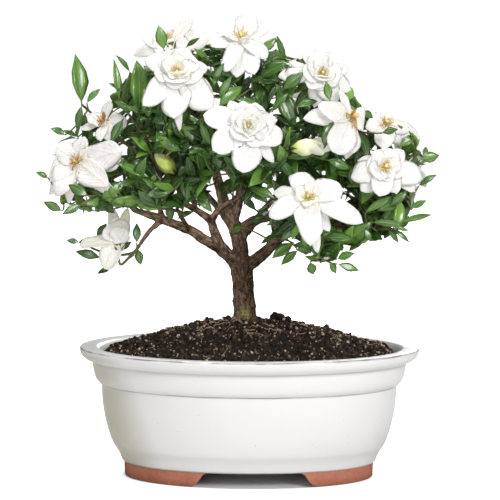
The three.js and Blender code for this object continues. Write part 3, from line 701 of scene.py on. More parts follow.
def bud_skin(name):
    made = Finish(name, colours().bud, Coat_Weight=0.2, Coat_Roughness=0.3)
    along = made.effect("blade_veins")["Along"]
    clouds = made.mottle(220.0)
    made.lay(clouds, (0.50, 0.66, 0.10))
    made.lay(made.span(along, 0.0, 0.25, 0.8, 0.0), (0.14, 0.26, 0.04))
    made.lay(made.span(along, 0.62, 0.95), (0.86, 0.84, 0.66))
    made.lay(made.times(made.attribute("tone"), made.span(along, 0.15, 0.5)), (0.86, 0.85, 0.66))
    return made.done(clouds, (0.4, 0.55), clouds, 0.2, 0.0004)


def grained(name, base, toned, grain, share, scale, roughness, bump, depth=0.0003):
    """A plain finish with a fine grain, and with a second colour where the tone is high."""
    made = Finish(name, base)
    if toned:
        made.lay(made.attribute("tone"), toned)
    mask = made.mottle(scale)
    made.lay(mask, grain, share)
    return made.done(mask, roughness, mask, bump, depth)


def screen_plastic(name):
    return grained(name, (0.014, 0.016, 0.013), None, (0.035, 0.036, 0.030), 1, 700.0,
                   (0.5, 0.7), 0.2, 0.0002)


def rootlet(name):
    return grained(name, (0.62, 0.48, 0.30), None, (0.24, 0.15, 0.09), 1, 300.0, (0.6, 0.8), 0.3)


def shoot(name):
    return grained(name, colours().shoot, (0.17, 0.105, 0.055), (0.05, 0.055, 0.02), 0.4, 260.0,
                   (0.5, 0.7), 0.3)


def club(name):
    return grained(name, (0.84, 0.76, 0.30), colours().heart, (0.62, 0.38, 0.10), 0.3, 800.0,
                   (0.5, 0.7), 0.5)


def anther(name):
    return grained(name, (0.82, 0.70, 0.28), colours().anther, (0.36, 0.17, 0.05), 0.35, 600.0,
                   (0.55, 0.75), 0.4)


def studio_white(name):
    made = Finish(name, (0.72, 0.72, 0.72), Emission_Color=(1, 1, 1, 1))
    grain = made.mottle(4.0)
    made.lay(grain, (0.75, 0.75, 0.75))
    outer = (RIM_REACH - FOOT_RING["outer"]) * MM
    narrow = outer - OVAL_DIFFERENCE * MM
    place = made.place
    for operation, vector in (("SUBTRACT", (POT_MIDDLE.x, POT_MIDDLE.y, 0)),
                              ("MULTIPLY", (1 / outer, 1 / narrow, 0))):
        place = made.add("ShaderNodeVectorMath", {0: place, 1: vector},
                         operation=operation).outputs[0]
    reach = made.add("ShaderNodeVectorMath", {0: place}, operation="LENGTH").outputs["Value"]
    seen = made.add("ShaderNodeLightPath").outputs["Is Camera Ray"]
    glow = made.times(made.span(reach, *FLOOR_SHADOW, 0.0, FLOOR_GLOW), seen)
    made.tree.links.new(glow, made.surface["Emission Strength"])
    return made.done(grain, (0.9, 0.95))


FINISHES = {
    "glaze": ("white_glaze", glaze), "clay": ("bare_clay", clay),
    "screen": ("screen_plastic", screen_plastic), "soil": ("damp_soil", soil),
    "rootlet": ("pale_rootlet", rootlet), "bark": ("ridged_bark", bark),
    "leaf": ("leaf_front", leaf_face), "leaf_back": ("leaf_back", leaf_face),
    "shoot": ("green_shoot", shoot), "petal": ("white_petal", petal), "club": ("heart_club", club),
    "anther": ("anther", anther), "bud": ("bud_skin", bud_skin),
    "floor": ("studio_floor", studio_white),
}


def finished(key):
    name, build = FINISHES[key]
    return bpy.data.materials.get(name) or build(name)


# Pot

RIM_LENGTH = 204.0
RIM_WIDTH = 160.0
RIM_REACH = RIM_LENGTH / 2
OVAL_DIFFERENCE = (RIM_LENGTH - RIM_WIDTH) / 2
INNER_RING = 40.0
POT_STEPS = 160
FEET_STEPS = 128

# The outline of the pot as (inset from the rim, height): under its middle, up the outside and
# over the lip, and down the inside to the floor
POT_UNDER = [(102, 8.6), (60, 8.6), (28.4, 8.6)]
POT_OUTSIDE = [
    (27, 8.7), (25.8, 9.4), (25, 11), (24.1, 13.2), (23.2, 15), (21.9, 17), (20.3, 19.4),
    (18.4, 24), (16.7, 29.4), (15.2, 35.5), (14.1, 42), (13.5, 48), (13.3, 53), (13.2, 54.6),
    (12.8, 55.4), (12.3, 56), (11.2, 56.9), (10.0, 58.4), (9.0, 60.8), (8.3, 63.6), (7.8, 66.6),
    (7.4, 68.9), (7.0, 69.6), (5.6, 70), (3.4, 71), (1.6, 72.4), (0.5, 74.2), (0, 76),
    (0.15, 77.2), (0.7, 77.9),
]
POT_INSIDE = [
    (1.6, 78.1), (4, 78.0), (8, 77.8), (9.8, 77.6), (11, 77), (11.8, 75.8), (13, 73), (16, 64),
    (19, 55), (22.6, 37), (25.5, 21), (27.4, 17.4), (31, 16), (60, 16), (102, 16),
]
# Dark lines along the outside: their place along it, width, how fine their breaks are, the share
# that is broken out, and strength. Those at the rim's edge, the lip's inner edge and the glaze's
# lower edge are lines in the glaze, the one at the groove (50.2) is a dark line, and the two under
# the rim's roll (66.2 and 65.6) are painted shadow.
GLAZE_AND_SHADOW_LINES = [
    (77.4, 0.85, 70.0, 0.34, 1.0), (50.2, 0.8, 60.0, 0.18, 0.85), (66.2, 0.8, 45.0, 0.2, 0.55),
    (65.6, 2.2, 14.0, -0.4, 0.3), (88.4, 0.7, 60.0, 0.46, 0.4), (0.9, 0.9, 60.0, 0.22, 0.8),
]
# Where the painted shade on the pot's left side begins and where it is full along x, how it slants
# with height, and the heights where it fades out at the lip
PAINTED_SHADE_SIDE = (-0.044, -0.076)
PAINTED_SHADE_SLANT = 0.35
LIP_HEIGHTS = (0.074, 0.077)
NO_ARC = -10.0
DRAIN_HOLE = {"radius": 7.0, "offset": 38.0, "low": 5.0, "high": 20.0}
FOOT_RING = {"outer": 27.2, "inner": 36.0, "top": 8.9}
FOOT_GAP = [
    (37.5, -1), (37.3, 0.3), (35.6, 1.0), (33.4, 2.6), (31.6, 5.0), (30.2, 7.2), (28.0, 8.6),
    (25.6, 9.6),
]
FOOT_GAP_MIDDLE = 3.0


def oval(point):
    """A point of a round shape moved to where it lies in the pot's oval."""
    reach = max(math.hypot(point.x, point.y), INNER_RING)
    return Vector((point.x, point.y * (1 - OVAL_DIFFERENCE / reach), point.z))


def spun(outline, steps):
    """A closed round shape from an outline of (radius, height)."""
    bm = bmesh.new()
    points = [bm.verts.new((radius, 0, height)) for radius, height in outline]
    edges = [bm.edges.new(pair) for pair in zip(points, points[1:])]
    bmesh.ops.spin(bm, geom=points + edges, cent=(0, 0, 0), axis=(0, 0, 1), angle=FULL_TURN,
                   steps=steps, use_merge=True)
    merged(bm, bm.verts)
    bmesh.ops.recalc_face_normals(bm, faces=bm.faces)
    return bm


def pot_shape():
    """The glazed body, with its drain holes, and on it the way along its outline for the glaze."""
    line = [*POT_UNDER, *smooth_line(POT_OUTSIDE, 3), *smooth_line(POT_INSIDE, 2)]
    outline = [(RIM_REACH - inset, height) for inset, height in line]
    bm = spun(outline, POT_STEPS)
    glazed = outline[len(POT_UNDER):]
    reached = [0.0]
    for (a, b), (c, d) in zip(glazed, glazed[1:]):
        reached.append(reached[-1] + math.hypot(c - a, d - b))
    finder = nearest_finder([(radius, 0, height) for radius, height in glazed])
    layer = bm.verts.layers.float.new("arc")
    for vertex in bm.verts:
        _, i, away = finder.find((math.hypot(vertex.co.x, vertex.co.y), 0, vertex.co.z))
        vertex[layer] = reached[i] if away < 0.1 else NO_ARC
        vertex.co = oval(vertex.co)
    cutter = bmesh.new()
    low, high = DRAIN_HOLE["low"], DRAIN_HOLE["high"]
    for side in (-1, 1):
        place = Matrix.Translation((side * DRAIN_HOLE["offset"], 0, (low + high) / 2))
        bmesh.ops.create_cone(cutter, cap_ends=True, segments=48, radius1=DRAIN_HOLE["radius"],
                              radius2=DRAIN_HOLE["radius"], depth=high - low, matrix=place)
    return carved(bm, cutter)


def feet_shape():
    """The clay ring under the pot, with the gap between its feet cut through it."""
    outer, inner = RIM_REACH - FOOT_RING["outer"], RIM_REACH - FOOT_RING["inner"]
    top = FOOT_RING["top"]
    outline = [(outer - 0.5, 0), (outer, 0.6), (outer + 0.3, top), (inner, top),
               (inner + 0.2, 0.5), (inner + 0.6, 0)]
    bm = spun([*outline, outline[0]], FEET_STEPS)
    for vertex in bm.verts:
        vertex.co = oval(vertex.co)
    cutter = bmesh.new()
    half = [(FOOT_GAP_MIDDLE + x, z) for x, z in smooth_line(FOOT_GAP, 3)]
    other = [(2 * FOOT_GAP_MIDDLE - x, z) for x, z in reversed(half)]
    face = cutter.faces.new([cutter.verts.new((x, -RIM_WIDTH, z)) for x, z in half + other])
    pulled = bmesh.ops.extrude_face_region(cutter, geom=[face])["geom"]
    bmesh.ops.translate(cutter, vec=(0, 2 * RIM_WIDTH, 0),
                        verts=[v for v in pulled if isinstance(v, bmesh.types.BMVert)])
    bmesh.ops.recalc_face_normals(cutter, faces=cutter.faces)
    return modified(carved(bm, cutter), ("BEVEL", {
        "width": 0.45, "segments": 2, "limit_method": "ANGLE", "angle_limit": math.radians(40)}))


# Soil, as (reach in the round shape, height) on top and down its side, and what lies on it

SOIL_SURFACE = [(0, 93.8), (12, 93.4), (30, 91), (52, 85.8), (70, 80), (84, 75.8), (87.6, 74.2)]
SOIL_SIDE = [(86.6, 69.5), (82.6, 55.3), (76.2, 22), (70.5, 18.4), (0, 18.4)]
SOIL_STEPS = 220
SOIL_EDGE = {"reach": 87.9, "height": 74.0, "flat": 89.0, "fade": 6.0}
# Each chunk as x, y, size and tone
CHUNKS = [
    (16, 2, 7.5, 0.0), (21, 4, 6.0, 0.0), (-66, -22, 4.4, 0.0), (-70, -12, 3.6, 0.0),
    (46, 6, 3.2, 0.02), (-34, 2, 3.0, 0.0), (62, -12, 3.4, 0.0), (8, -44, 3.0, 0.05),
    (-52, -30, 3.0, 0.0), (34, -38, 3.2, 0.0), (-12, 14, 3.4, 0.0), (30, 30, 4.0, 0.0),
]
CHUNK_STRETCH = 1.25
# The lumps of the surface, as the shift of their noise in x and y, their size and their height
SOIL_LUMPS = ((0, 0, 9.0, 1.4), (31, 0, 3.4, 1.3), (0, 17, 1.5, 0.8))
CRUMB_FORMS = 9
CRUMB_REACH = 86.0
# Pale grains, brown flat crumbs and dark ones: the draw up to which each comes, how far it stands
# out, its size, its tones and how they lean to the first one, and how flat it is
CRUMB_KINDS = ((0.12, 0.45, 0.62, (0.6, 1.0), 1, 1.0), (0.22, 0.25, 1.1, (0.25, 0.5), 1, 0.4),
               (1.0, 0.2, 1.0, (0, 0.22), 2, 1.0))
ROOTLETS = {"all": 46, "near": 26, "step": 1.9, "reach": 84.0}


def lifted(place, reach):
    """A place on the smooth mound raised to the lumpy surface, less so towards the edge."""
    lift = 0.0
    for x, y, scale, amount in SOIL_LUMPS:
        lift += noise.noise(Vector(((place.x + x) / scale, (place.y + y) / scale, 0.37))) * amount
    place.z += lift * min(1.0, (SOIL_EDGE["flat"] - reach) / SOIL_EDGE["fade"])
    return place


def on_soil(reach, angle):
    """A point on the soil's surface, from its reach in the round shape and its angle."""
    height = table_value(SOIL_SURFACE, reach)
    place = Vector((reach * math.cos(angle), reach * math.sin(angle), height))
    return lifted(oval(place), reach)


def soil_shape():
    bm = spun([*smooth_line(SOIL_SURFACE, 12), *SOIL_SIDE], SOIL_STEPS)
    for vertex in bm.verts:
        reach = math.hypot(vertex.co.x, vertex.co.y)
        top = vertex.co.z > SOIL_EDGE["height"] and reach < SOIL_EDGE["reach"]
        place = oval(vertex.co)
        vertex.co = lifted(place, reach) if top else place
    bm.verts.layers.float.new("tone")
    return bm


def crumb_templates(draws):
    """Irregular crumbs of about one millimetre."""
    made = []
    for _ in range(CRUMB_FORMS):
        bm = new_shape()
        bmesh.ops.create_icosphere(bm, subdivisions=1, radius=0.5)
        for vertex in bm.verts:
            vertex.co *= mix(0.65, 1.35, draws())
        made.append(mesh_from(bm, "crumb"))
    return made


def crumbs_shape(count):
    """Loose crumbs strewn over the mound, and chunks made of several crumbs."""
    draws = draws_for("crumbs")
    templates = crumb_templates(draws)
    bm = new_shape()

    def drop(place, size, tone, flat=1.0):
        turned = Matrix.Rotation(
            draws() * FULL_TURN, 4, (draws() - 0.5, draws() - 0.5, draws() + 0.1))
        scale = Matrix.Diagonal((size * mix(0.8, 1.5, draws()), size, size * flat, 1))
        stamp(bm, templates[int(draws() * len(templates))],
              Matrix.Translation(place) @ turned @ scale, tone)

    for _ in range(count):
        reach = CRUMB_REACH * math.sqrt(draws())
        place = on_soil(reach, draws() * FULL_TURN)
        kind = draws()
        size = mix(1.1, 3.1, draws() ** 1.7)
        out, bulk, tones, power, flat = next(row[1:] for row in CRUMB_KINDS if kind < row[0])
        drop(place + UP * size * out, size * bulk, mix(*tones, draws() ** power), flat)
    for x, y, size, tone in CHUNKS:
        place = on_soil(math.hypot(x, y * CHUNK_STRETCH), math.atan2(y * CHUNK_STRETCH, x))
        for _ in range(4):
            aside = Vector((draws() - 0.5, draws() - 0.5, 0.25 + 0.3 * draws())) * size * 0.8
            drop(place + aside, size * mix(0.55, 0.95, draws()), tone)
    for template in templates:
        bpy.data.meshes.remove(template)
    return bm


def rootlets_shape():
    """Fine pale roots that wander over the mound, most of them at the front left of the trunk."""
    draws = draws_for("rootlets")
    bm = new_shape()
    for i in range(ROOTLETS["all"]):
        near = i < ROOTLETS["near"]
        reach = mix(12, 46, draws()) if near else mix(20, 80, draws())
        angle = math.radians(mix(165, 300, draws()) if near else mix(0, 360, draws()))
        heading = draws() * FULL_TURN
        rings = []
        x, y = reach * math.cos(angle), reach * math.sin(angle)
        steps = 5 + int(draws() * 6)
        for step in range(steps):
            place = on_soil(min(math.hypot(x, y), ROOTLETS["reach"]), math.atan2(y, x))
            arch = math.sin(math.pi * step / (steps - 1)) * mix(0.4, 2.0, draws())
            rings.append((place.x, place.y, place.z + 0.5 + arch, mix(0.21, 0.10, step / steps)))
            heading += (draws() - 0.5) * 1.3
            x += math.cos(heading) * ROOTLETS["step"]
            y += math.sin(heading) * ROOTLETS["step"]
        tube(bm, smooth_line(rings, 2), 5)
    return bm


# Trunk and limbs, as (x, y, z, radius) rings

TRUNK = [
    (-2.4, 0, 52, 6.6), (-2.4, 0, 86, 7.0), (-2.5, 0, 93, 7.0), (-2.9, 0, 100, 6.5),
    (-3.8, 0, 112, 6.3), (-4.6, 0, 122, 6.5), (-4.6, 1, 130, 6.2),
]
LIMBS = {
    "left": [(-4.5, 0, 121, 4.6), (-10, -1, 130, 4.2), (-18, -3, 137, 3.5), (-28, -6, 143, 3.1),
        (-36, -8, 148.5, 2.9), (-49, -9, 153.5, 2.6), (-60, -9, 157.5, 2.2),
        (-69, -7, 160.5, 1.8), (-74, -5, 167, 1.4)],
    "left_low": [(-51, -9, 154, 1.8), (-55, -10, 164, 1.5), (-58, -12, 175, 1.3)],
    "droop": [(-53, -9, 154, 1.6), (-60, -11, 148, 1.5), (-67, -14, 138, 1.2)],
    "inner_left": [(-36, -8, 148, 1.7), (-39, -18, 154, 1.5), (-42, -25, 160, 1.3)],
    "upper_left": [(-13, -2, 133, 3.2), (-18, -6, 140, 3), (-21.5, -9, 148, 2.8),
        (-24, -11, 155, 2.5), (-32, -16, 161, 2), (-39, -18, 165, 1.8), (-47, -20, 170, 1.7),
        (-55, -23, 184, 1.5), (-60, -24, 199, 1.3)],
    "left_top": [(-54, -23, 182, 1.4), (-62, -20, 190, 1.3), (-70, -17, 197, 1.2)],
    "bud_left": [(-32, -16, 161, 1.5), (-34, -22, 169, 1.3), (-36, -27, 176, 1.2)],
    "centre": [(-23.5, -10.5, 152, 2), (-19.6, -14, 160.6, 1.9), (-13.7, -17, 165, 1.7),
        (-7.8, -20, 168.7, 1.6), (-2.5, -26, 173, 1.4), (0, -31, 178, 1.3)],
    "twig": [(-18, -15, 162, 1.5), (-18.7, -18, 172.5, 1.4), (-21.3, -22, 183.6, 1.3),
        (-23, -26, 190, 1.2)],
    "top_left": [(-5, 1, 128, 4.8), (-7, 5, 143.6, 4.6), (-12, 9, 155, 3.6), (-16, 12, 165, 3.4),
        (-22, 18, 185, 2.6), (-28, 18, 207, 2), (-36, -3, 226, 1.5)],
    "top": [(-10, 8, 152, 3), (-6, 12, 170, 2.8), (-4, 14, 190, 2.4), (-6, 12, 220, 1.8),
        (-8, 8, 240, 1.4)],
    "upper_right": [(-6, 4, 141, 3.8), (-3, 6, 149, 3.5), (5.6, 6, 154.7, 3.2),
        (11.6, 6, 156, 3), (20, 8, 165, 2.4), (28, 8, 185, 2), (34, 4, 208, 1.6),
        (38, 0, 226, 1.3)],
    "right": [(28, -7, 150, 2.2), (45, -14, 168, 1.9), (58, -18, 188, 1.6), (68, -18, 204, 1.3)],
    "right_mid": [(46, -10, 153, 1.9), (60, -16, 164, 1.6), (74, -22, 175, 1.3)],
    "right_low": [(-2, 0, 126, 4), (4, -1, 130.5, 3.8), (10, -3, 136, 3.4), (14, -4, 140, 3.2),
        (22, -6, 147, 3), (34, -8, 152, 2.8), (46, -10, 153.5, 2.5), (58, -10, 152.5, 2.2),
        (67, -10, 152, 1.8), (75, -8, 150, 1.5)],
    "low_centre": [(20, -6, 146, 1.8), (25, -18, 151, 1.5), (28, -30, 156, 1.3)],
    "low_right": [(44, -10, 153, 1.7), (49, -16, 149, 1.5), (53, -23, 144, 1.3)],
    "inner_right": [(27, 8, 182, 1.6), (32, -2, 187, 1.5), (36, -12, 191, 1.3)],
    "back_left": [(-8, 5, 145, 2.6), (-20, 22, 160, 2), (-32, 38, 173, 1.7), (-40, 50, 185, 1.4)],
    "back_right": [(-2, 5, 146, 2.4), (10, 28, 160, 2), (24, 42, 175, 1.7), (35, 50, 190, 1.4)],
    "back_low": [(22, -6, 147, 2.2), (42, 10, 155, 1.9), (60, 25, 163, 1.6), (75, 35, 171, 1.3)],
    "back_mid": [(-5, 13, 180, 1.8), (-3, 28, 188, 1.6), (0, 44, 195, 1.3)],
    "back_top": [(-21, 17, 184, 1.9), (-36, 22, 199, 1.6), (-50, 20, 212, 1.3)],
}
LIMB_STEPS = 6
LIMB_SIDES = 14
WOOD_GRAIN = 0.72
GRAIN_STRETCH = 0.28
WOOD_MASKS = ("young", "moss", "painted_highlight")
THIN_LIMB = 1.2
OLD_LIMB = 5.7
# The side towards which the bark is painted lighter, as if lit from there: up, to the front and to
# the left
HIGHLIGHT_SIDE = Vector((-0.3, -0.4, 0.8))
MOSS = {"place": Vector((-3.6, -6.6, 98.5)), "reach": 4.2}


def limb_samples(lines):
    """Each ring of the limbs: its place, the way it runs, its radius and how far along it is."""
    samples = []
    for line in lines:
        reached = 0.0
        for i, ring in enumerate(line):
            place = Vector(ring[:3])
            ahead = Vector(line[min(i + 1, len(line) - 1)][:3])
            behind = Vector(line[max(i - 1, 0)][:3])
            reached += (place - behind).length
            samples.append((place, (ahead - behind).normalized(), ring[3], reached))
    return samples


def tree_shape():
    """Trunk and limbs grown together, with ridged bark."""
    bm = bmesh.new()
    bm.loops.layers.uv.new("blade")
    lines = [smooth_line(rings, LIMB_STEPS) for rings in (TRUNK, *LIMBS.values())]
    for line in lines:
        tube(bm, line, LIMB_SIDES)
    samples = limb_samples(lines)
    finder = nearest_finder([sample[0] for sample in samples])
    bm = modified(
        bm, ("REMESH", {"mode": "VOXEL", "voxel_size": WOOD_GRAIN}),
        ("SMOOTH", {"factor": 0.5, "iterations": 5}))
    bm.normal_update()
    grain = bm.verts.layers.float_vector.new("grain")
    for label in WOOD_MASKS:
        bm.verts.layers.float.new(label)
    young, moss, painted_highlight = (bm.verts.layers.float[label] for label in WOOD_MASKS)
    moved = []
    for vertex in bm.verts:
        # Of the rings near by, the vertex belongs to the one whose surface is nearest.
        nearest = min(finder.find_n(vertex.co, 6),
                      key=lambda found: found[2] - samples[found[1]][2])
        place, along, radius, reached = samples[nearest[1]]
        away = vertex.co - place
        rise = away.dot(along)
        away -= along * rise
        side = across_of(along)
        angle = math.atan2(away.dot(along.cross(side)), away.dot(side))
        spot = Vector((math.cos(angle) * radius, math.sin(angle) * radius,
                       (reached + rise) * GRAIN_STRETCH))
        old = min(1.0, max(0.0, (radius - THIN_LIMB) / (OLD_LIMB - THIN_LIMB)))
        ridges = 1 - abs(noise.noise(spot * 0.7)) * 2.4
        lumps = noise.noise(vertex.co * 0.22) * 0.07 * radius
        lumps += noise.noise(vertex.co * 0.55) * 0.10
        push = ridges * mix(0.10, 0.60, old) + lumps
        push += noise.noise(spot * 1.9) * mix(0.10, 0.42, old)
        knots = max(0.0, noise.noise(vertex.co * 0.16 + UP * 9) - 0.25)
        push += knots * mix(0.6, 2.2, old)
        moved.append(vertex.co + vertex.normal * (push - mix(0.04, 0.25, old)))
        vertex[grain] = spot
        vertex[young] = 1 - old
        # Painted highlight: lighter on faces turned up and to the front left, more on the limbs at
        # the left and less on old wood, broken by noise.
        lit = vertex.normal.dot(HIGHLIGHT_SIDE)
        highlight_share = max(0.0, noise.noise(vertex.co * 0.35) * 0.8 + lit + 0.35)
        aside = min(1.0, max(0.3, (2 - vertex.co.x) / 14))
        vertex[painted_highlight] = min(0.92, highlight_share * aside * mix(1.2, 0.7, old))
        covered = 1.25 - (vertex.co - MOSS["place"]).length / MOSS["reach"]
        vertex[moss] = max(0.0, min(1.0, covered + noise.noise(vertex.co * 0.7) * 0.9))
    for vertex, place in zip(bm.verts, moved):
        vertex.co = place
    return bm


# Blooms: centre, facing, reach, kind of cup, turn in degrees, and how old the petals look

BLOOMS = {
    "left": ((-102.5, -20, 189.5), (-0.45, -0.85, 0.25), 25, "none", 20, 0.8),
    "left_top": ((-87.1, -12, 212.7), (-0.5, -0.6, 0.6), 17, "half_open", 0, 0.9),
    "low_left": ((-79.3, -11, 141.9), (-0.1, -0.15, 0.98), 22, "none", 200, 0.2),
    "upper_left": ((-43.5, -45, 242.7), (0.1, -0.8, 0.6), 23, "double", 30, 0.15),
    "top_left": ((-48.3, -5, 261), (-0.3, 0.2, 0.93), 19, "none", 10, 0.7),
    "top": ((-5.7, -15, 262.4), (-0.1, -0.6, 0.8), 20, "open", 50, 0.3),
    "centre": ((-2.1, -75, 213.9), (0.25, -0.87, 0.35), 24, "swirl", 0, 0.15),
    "upper_right": ((41.2, -40, 242.7), (0.2, -0.85, 0.45), 22, "double", 15, 0.15),
    "right": ((57.6, -55, 219), (0.6, -0.75, 0.2), 21, "none", 10, 0.45),
    "right_top": ((79.3, -20, 212.5), (0.3, -0.8, 0.5), 14, "none", 30, 0.4),
    "far_right": ((77.9, -50, 189.5), (0.25, -0.9, 0.3), 23, "half", 45, 0.15),
    "low_right": ((33.1, -75, 172.9), (0, -0.85, 0.5), 27, "open", 30, 0.15),
    "back_left": ((-50, 70, 205), (-0.4, 0.8, 0.4), 24, "open", 0, 0.0),
    "back_right": ((45, 62, 225), (0.3, 0.75, 0.55), 24, "double", 40, 0.0),
    "back_low": ((95, 45, 182), (0.75, 0.6, 0.2), 20, "open", 20, 0.0),
}
FLOWER_TUBE = 10.0
BLOOM_STALK = 3.0
STALK_GAP = 0.09
PETAL_SEAT = 1.1
HEART_FOOT = 1.15

# The rows of petals of the blooms that the photograph doesn't show, as number, pitch, length and
# width in shares of the reach, curl, foot and turn
BACK_ROWS = {
    "open": [(6, 84, 1, 0.6, -0.45, -0.8, 0), (2, 56, 0.68, 0.56, -0.2, 0, 40)],
    "double": [(6, 95, 1, 0.6, -0.5, -0.8, 0), (4, 64, 0.78, 0.66, 0.1, -0.2, 25),
               (3, 32, 0.5, 0.42, 0.5, 0.1, 10)],
}

# The petals of the blooms at the front. Each petal's tip is so far to the right of the bloom's
# centre, above it and before the plane that the bloom lies in; then come its width and its curl,
# and for some its cup and its tone.
PETALS = {
    "left": [(-13.5, 9, 2, 13, -0.3), (4, 16, 1, 11.5, -0.4), (28, 8, 2, 17.5, -0.35),
        (26, -1, -4, 9, -0.2), (20, -13, 3, 16, -0.5), (25.5, -21, -3, 9, -0.3),
        (-14, -20, 3, 17, -0.4), (-18.5, -11, 1, 14, -0.5), (-6, -26, -4, 9, -0.3),
        (-18, -21, -3, 9, -0.6)],
    "left_top": [(-10.5, 4, 2, 9, -0.6), (-14.5, -4, 0, 8.5, -0.3), (-2, -10, 2, 8, -0.4),
        (3, 13, 0, 9, -0.2), (14, -1, -1, 12, -0.2), (6, -10, 0, 9, -0.3)],
    "low_left": [(-23.5, -2, 0, 9.5, -0.2, 0.3, 0.4), (-7.5, -17, 4, 12.5, -0.25, 0.3, 0.2),
        (4, -6, -2, 8, -0.5, 0.3, 0.6), (0.5, 9, 7, 9, 0.7, -0.6, 0.1),
        (-4.0, 22, -3, 7, 0.1, 0.3, 0.7), (6.5, 20.5, -2, 6.5, 0.1, 0.3, 1.0),
        (-4.5, 11.5, 4, 10.5, 0.9, -0.5, 0.15), (3.5, 13, 3, 10.5, 0.5, -0.5, 0.2),
        (-1.0, 15.5, 1, 9.5, 0.6, -0.4, 0.3), (6.0, 8, 6, 8.5, 0.7, -0.6, 0.05)],
    "upper_left": [(-20, 9.5, 1, 13, -0.9), (-7, 15, -2, 13, -0.3), (6, 15.5, -2, 13, -0.4),
        (18.5, 4, -1, 11, -0.4), (-19.5, -18, 1, 15, -0.3), (-1, -25, 2, 16, -0.25),
        (21.5, -20, 1, 17, -0.3), (2.5, -33, -5, 5.5, 0.1), (22, -12, -3, 9, -0.5)],
    "top_left": [(13.5, 14.5, 0, 7.5, 0.1), (-17, 2, 2, 10, 0.1), (24, 1, 1, 12, -0.3),
        (-22, -9, 4, 7, -0.2), (17, 5, -3, 12, -0.1), (-9, -7, 5, 12, -0.3), (4, 7, -4, 9, 0.2),
        (-10, 5, -4, 9, 0.0), (10, -6, 5, 13, -0.3)],
    "top": [(6, 16, -2, 14, 0.15), (16, 8, 0, 9, 0.3), (-15.5, 5, 1, 9, -0.4),
        (-19, -4, 0, 10, -0.3), (-10, -18, 1, 11, -0.35), (-3, -22, -2, 12, -0.3),
        (8, -21, 0, 12, -0.3), (15.5, -10, 0, 10, -0.6)],
    "centre": [(-26, 7, 0, 13.5, -0.3), (-20, -13, 1, 14, -0.3), (-2, -26, 1, 16, -0.25),
        (16, -21, -3, 8, -0.3), (20.5, -9.5, 0, 14.5, -0.4), (18, -2, 0, 11, -0.4),
        (17, 5, -1, 11, -0.3), (8.5, 13, -1, 12, -0.3), (-2.5, 15, -2, 13, -0.3),
        (-10.5, 15, -3, 9, -0.3)],
    "upper_right": [(-26, 0, -2, 10, -0.3), (-20, 8, -3, 6.5, -0.2), (-10.5, 15, 1, 9, 0.2),
        (-0.5, 17, -1, 10, -0.2), (8, 13, 0, 10, -0.3), (16.5, 5, 0, 11, -0.4),
        (17.5, -9, 0, 12, -0.4), (9, -16, 1, 13, -0.4), (-8, -8, 2, 12, -0.6),
        (-4.5, -19.5, -3, 10, -0.3)],
    "right": [(-19.5, 7, 2, 13, -0.25), (-28, 0, -2, 10, -0.4), (-10, -19, 3, 18, -0.3),
        (2, -21.5, 0, 11, -0.3), (-1.5, -26, -4, 10, -0.3), (-6, 16, -2, 7, -0.2),
        (9, -2, 0, 12, -0.5), (-17.5, -21, -4, 9, -0.3)],
    "right_top": [(-12, -1, 1, 10, -0.3), (-12.5, 10, -1, 8, -0.2), (3, 8, 0, 9, -0.3),
        (16, -3, -1, 10, -0.3), (-1, -14, 1, 12, -0.3), (10, -11, -1, 9, -0.4),
        (15, -3, -3, 9, -0.2), (23, -9, -4, 11, -0.1), (19, -17, -5, 10, -0.2)],
    "far_right": [(-6, 10, 1, 10, -0.3), (1, 12, 0, 11, -0.3), (12, 10, 0, 11, -0.4),
        (23, -7, 0, 15, -0.35), (-3.5, -17, 2, 13, -0.5), (19, -15, -3, 8, -0.3),
        (-11, 2, 2, 10, -0.3), (-20.5, -6, 0, 13, -0.7), (-14, -14, -1, 11, -0.4),
        (-16, 4, -2, 9, -0.3), (8, -15, 1, 12, -0.4)],
    "low_right": [(-6, 15.5, -1, 14, -0.2), (8, 8, -1, 11, -0.3), (21, 6.5, 1, 14, -0.35),
        (33, -14, 0, 11.5, -0.6), (1.5, -25.5, 3, 15.5, -0.25), (13, -19, -3, 8, -0.3),
        (-21, 3.5, 0, 11, -0.3), (-23, -9.5, 2, 12, -0.3), (6, -31, -4, 6, 0.1)],
}
LAYER_DEPTH = 1.8
DEEPEST = 22.0
# The way the upper faces of the petals look where a bloom is seen from its side
SIDE_ON = {"low_left": Vector((0.1, -0.8, 0.6)), "top_left": Vector((-0.1, -0.9, 0.3))}

# The cup of petals inside the outer ones, as number, pitch, length and width in shares of the
# reach, curl and turn
CUPS = {
    "open": [(3, 48, 0.36, 0.40, 0.3, 20)],
    "double": [(5, 70, 0.62, 0.70, 0.2, 20), (4, 54, 0.48, 0.64, 0.45, 60),
               (3, 34, 0.33, 0.46, 0.7, 10)],
    "swirl": [(5, 70, 0.58, 0.68, 0.25, 10), (4, 52, 0.44, 0.62, 0.6, 45),
              (4, 28, 0.30, 0.42, 0.9, 20)],
    "half": [(5, 66, 0.50, 0.56, 0.2, 20), (4, 54, 0.36, 0.44, 0.4, 60)],
    "half_open": [(2, 48, 0.4, 0.5, 0.4, 20)],
    "none": [],
}

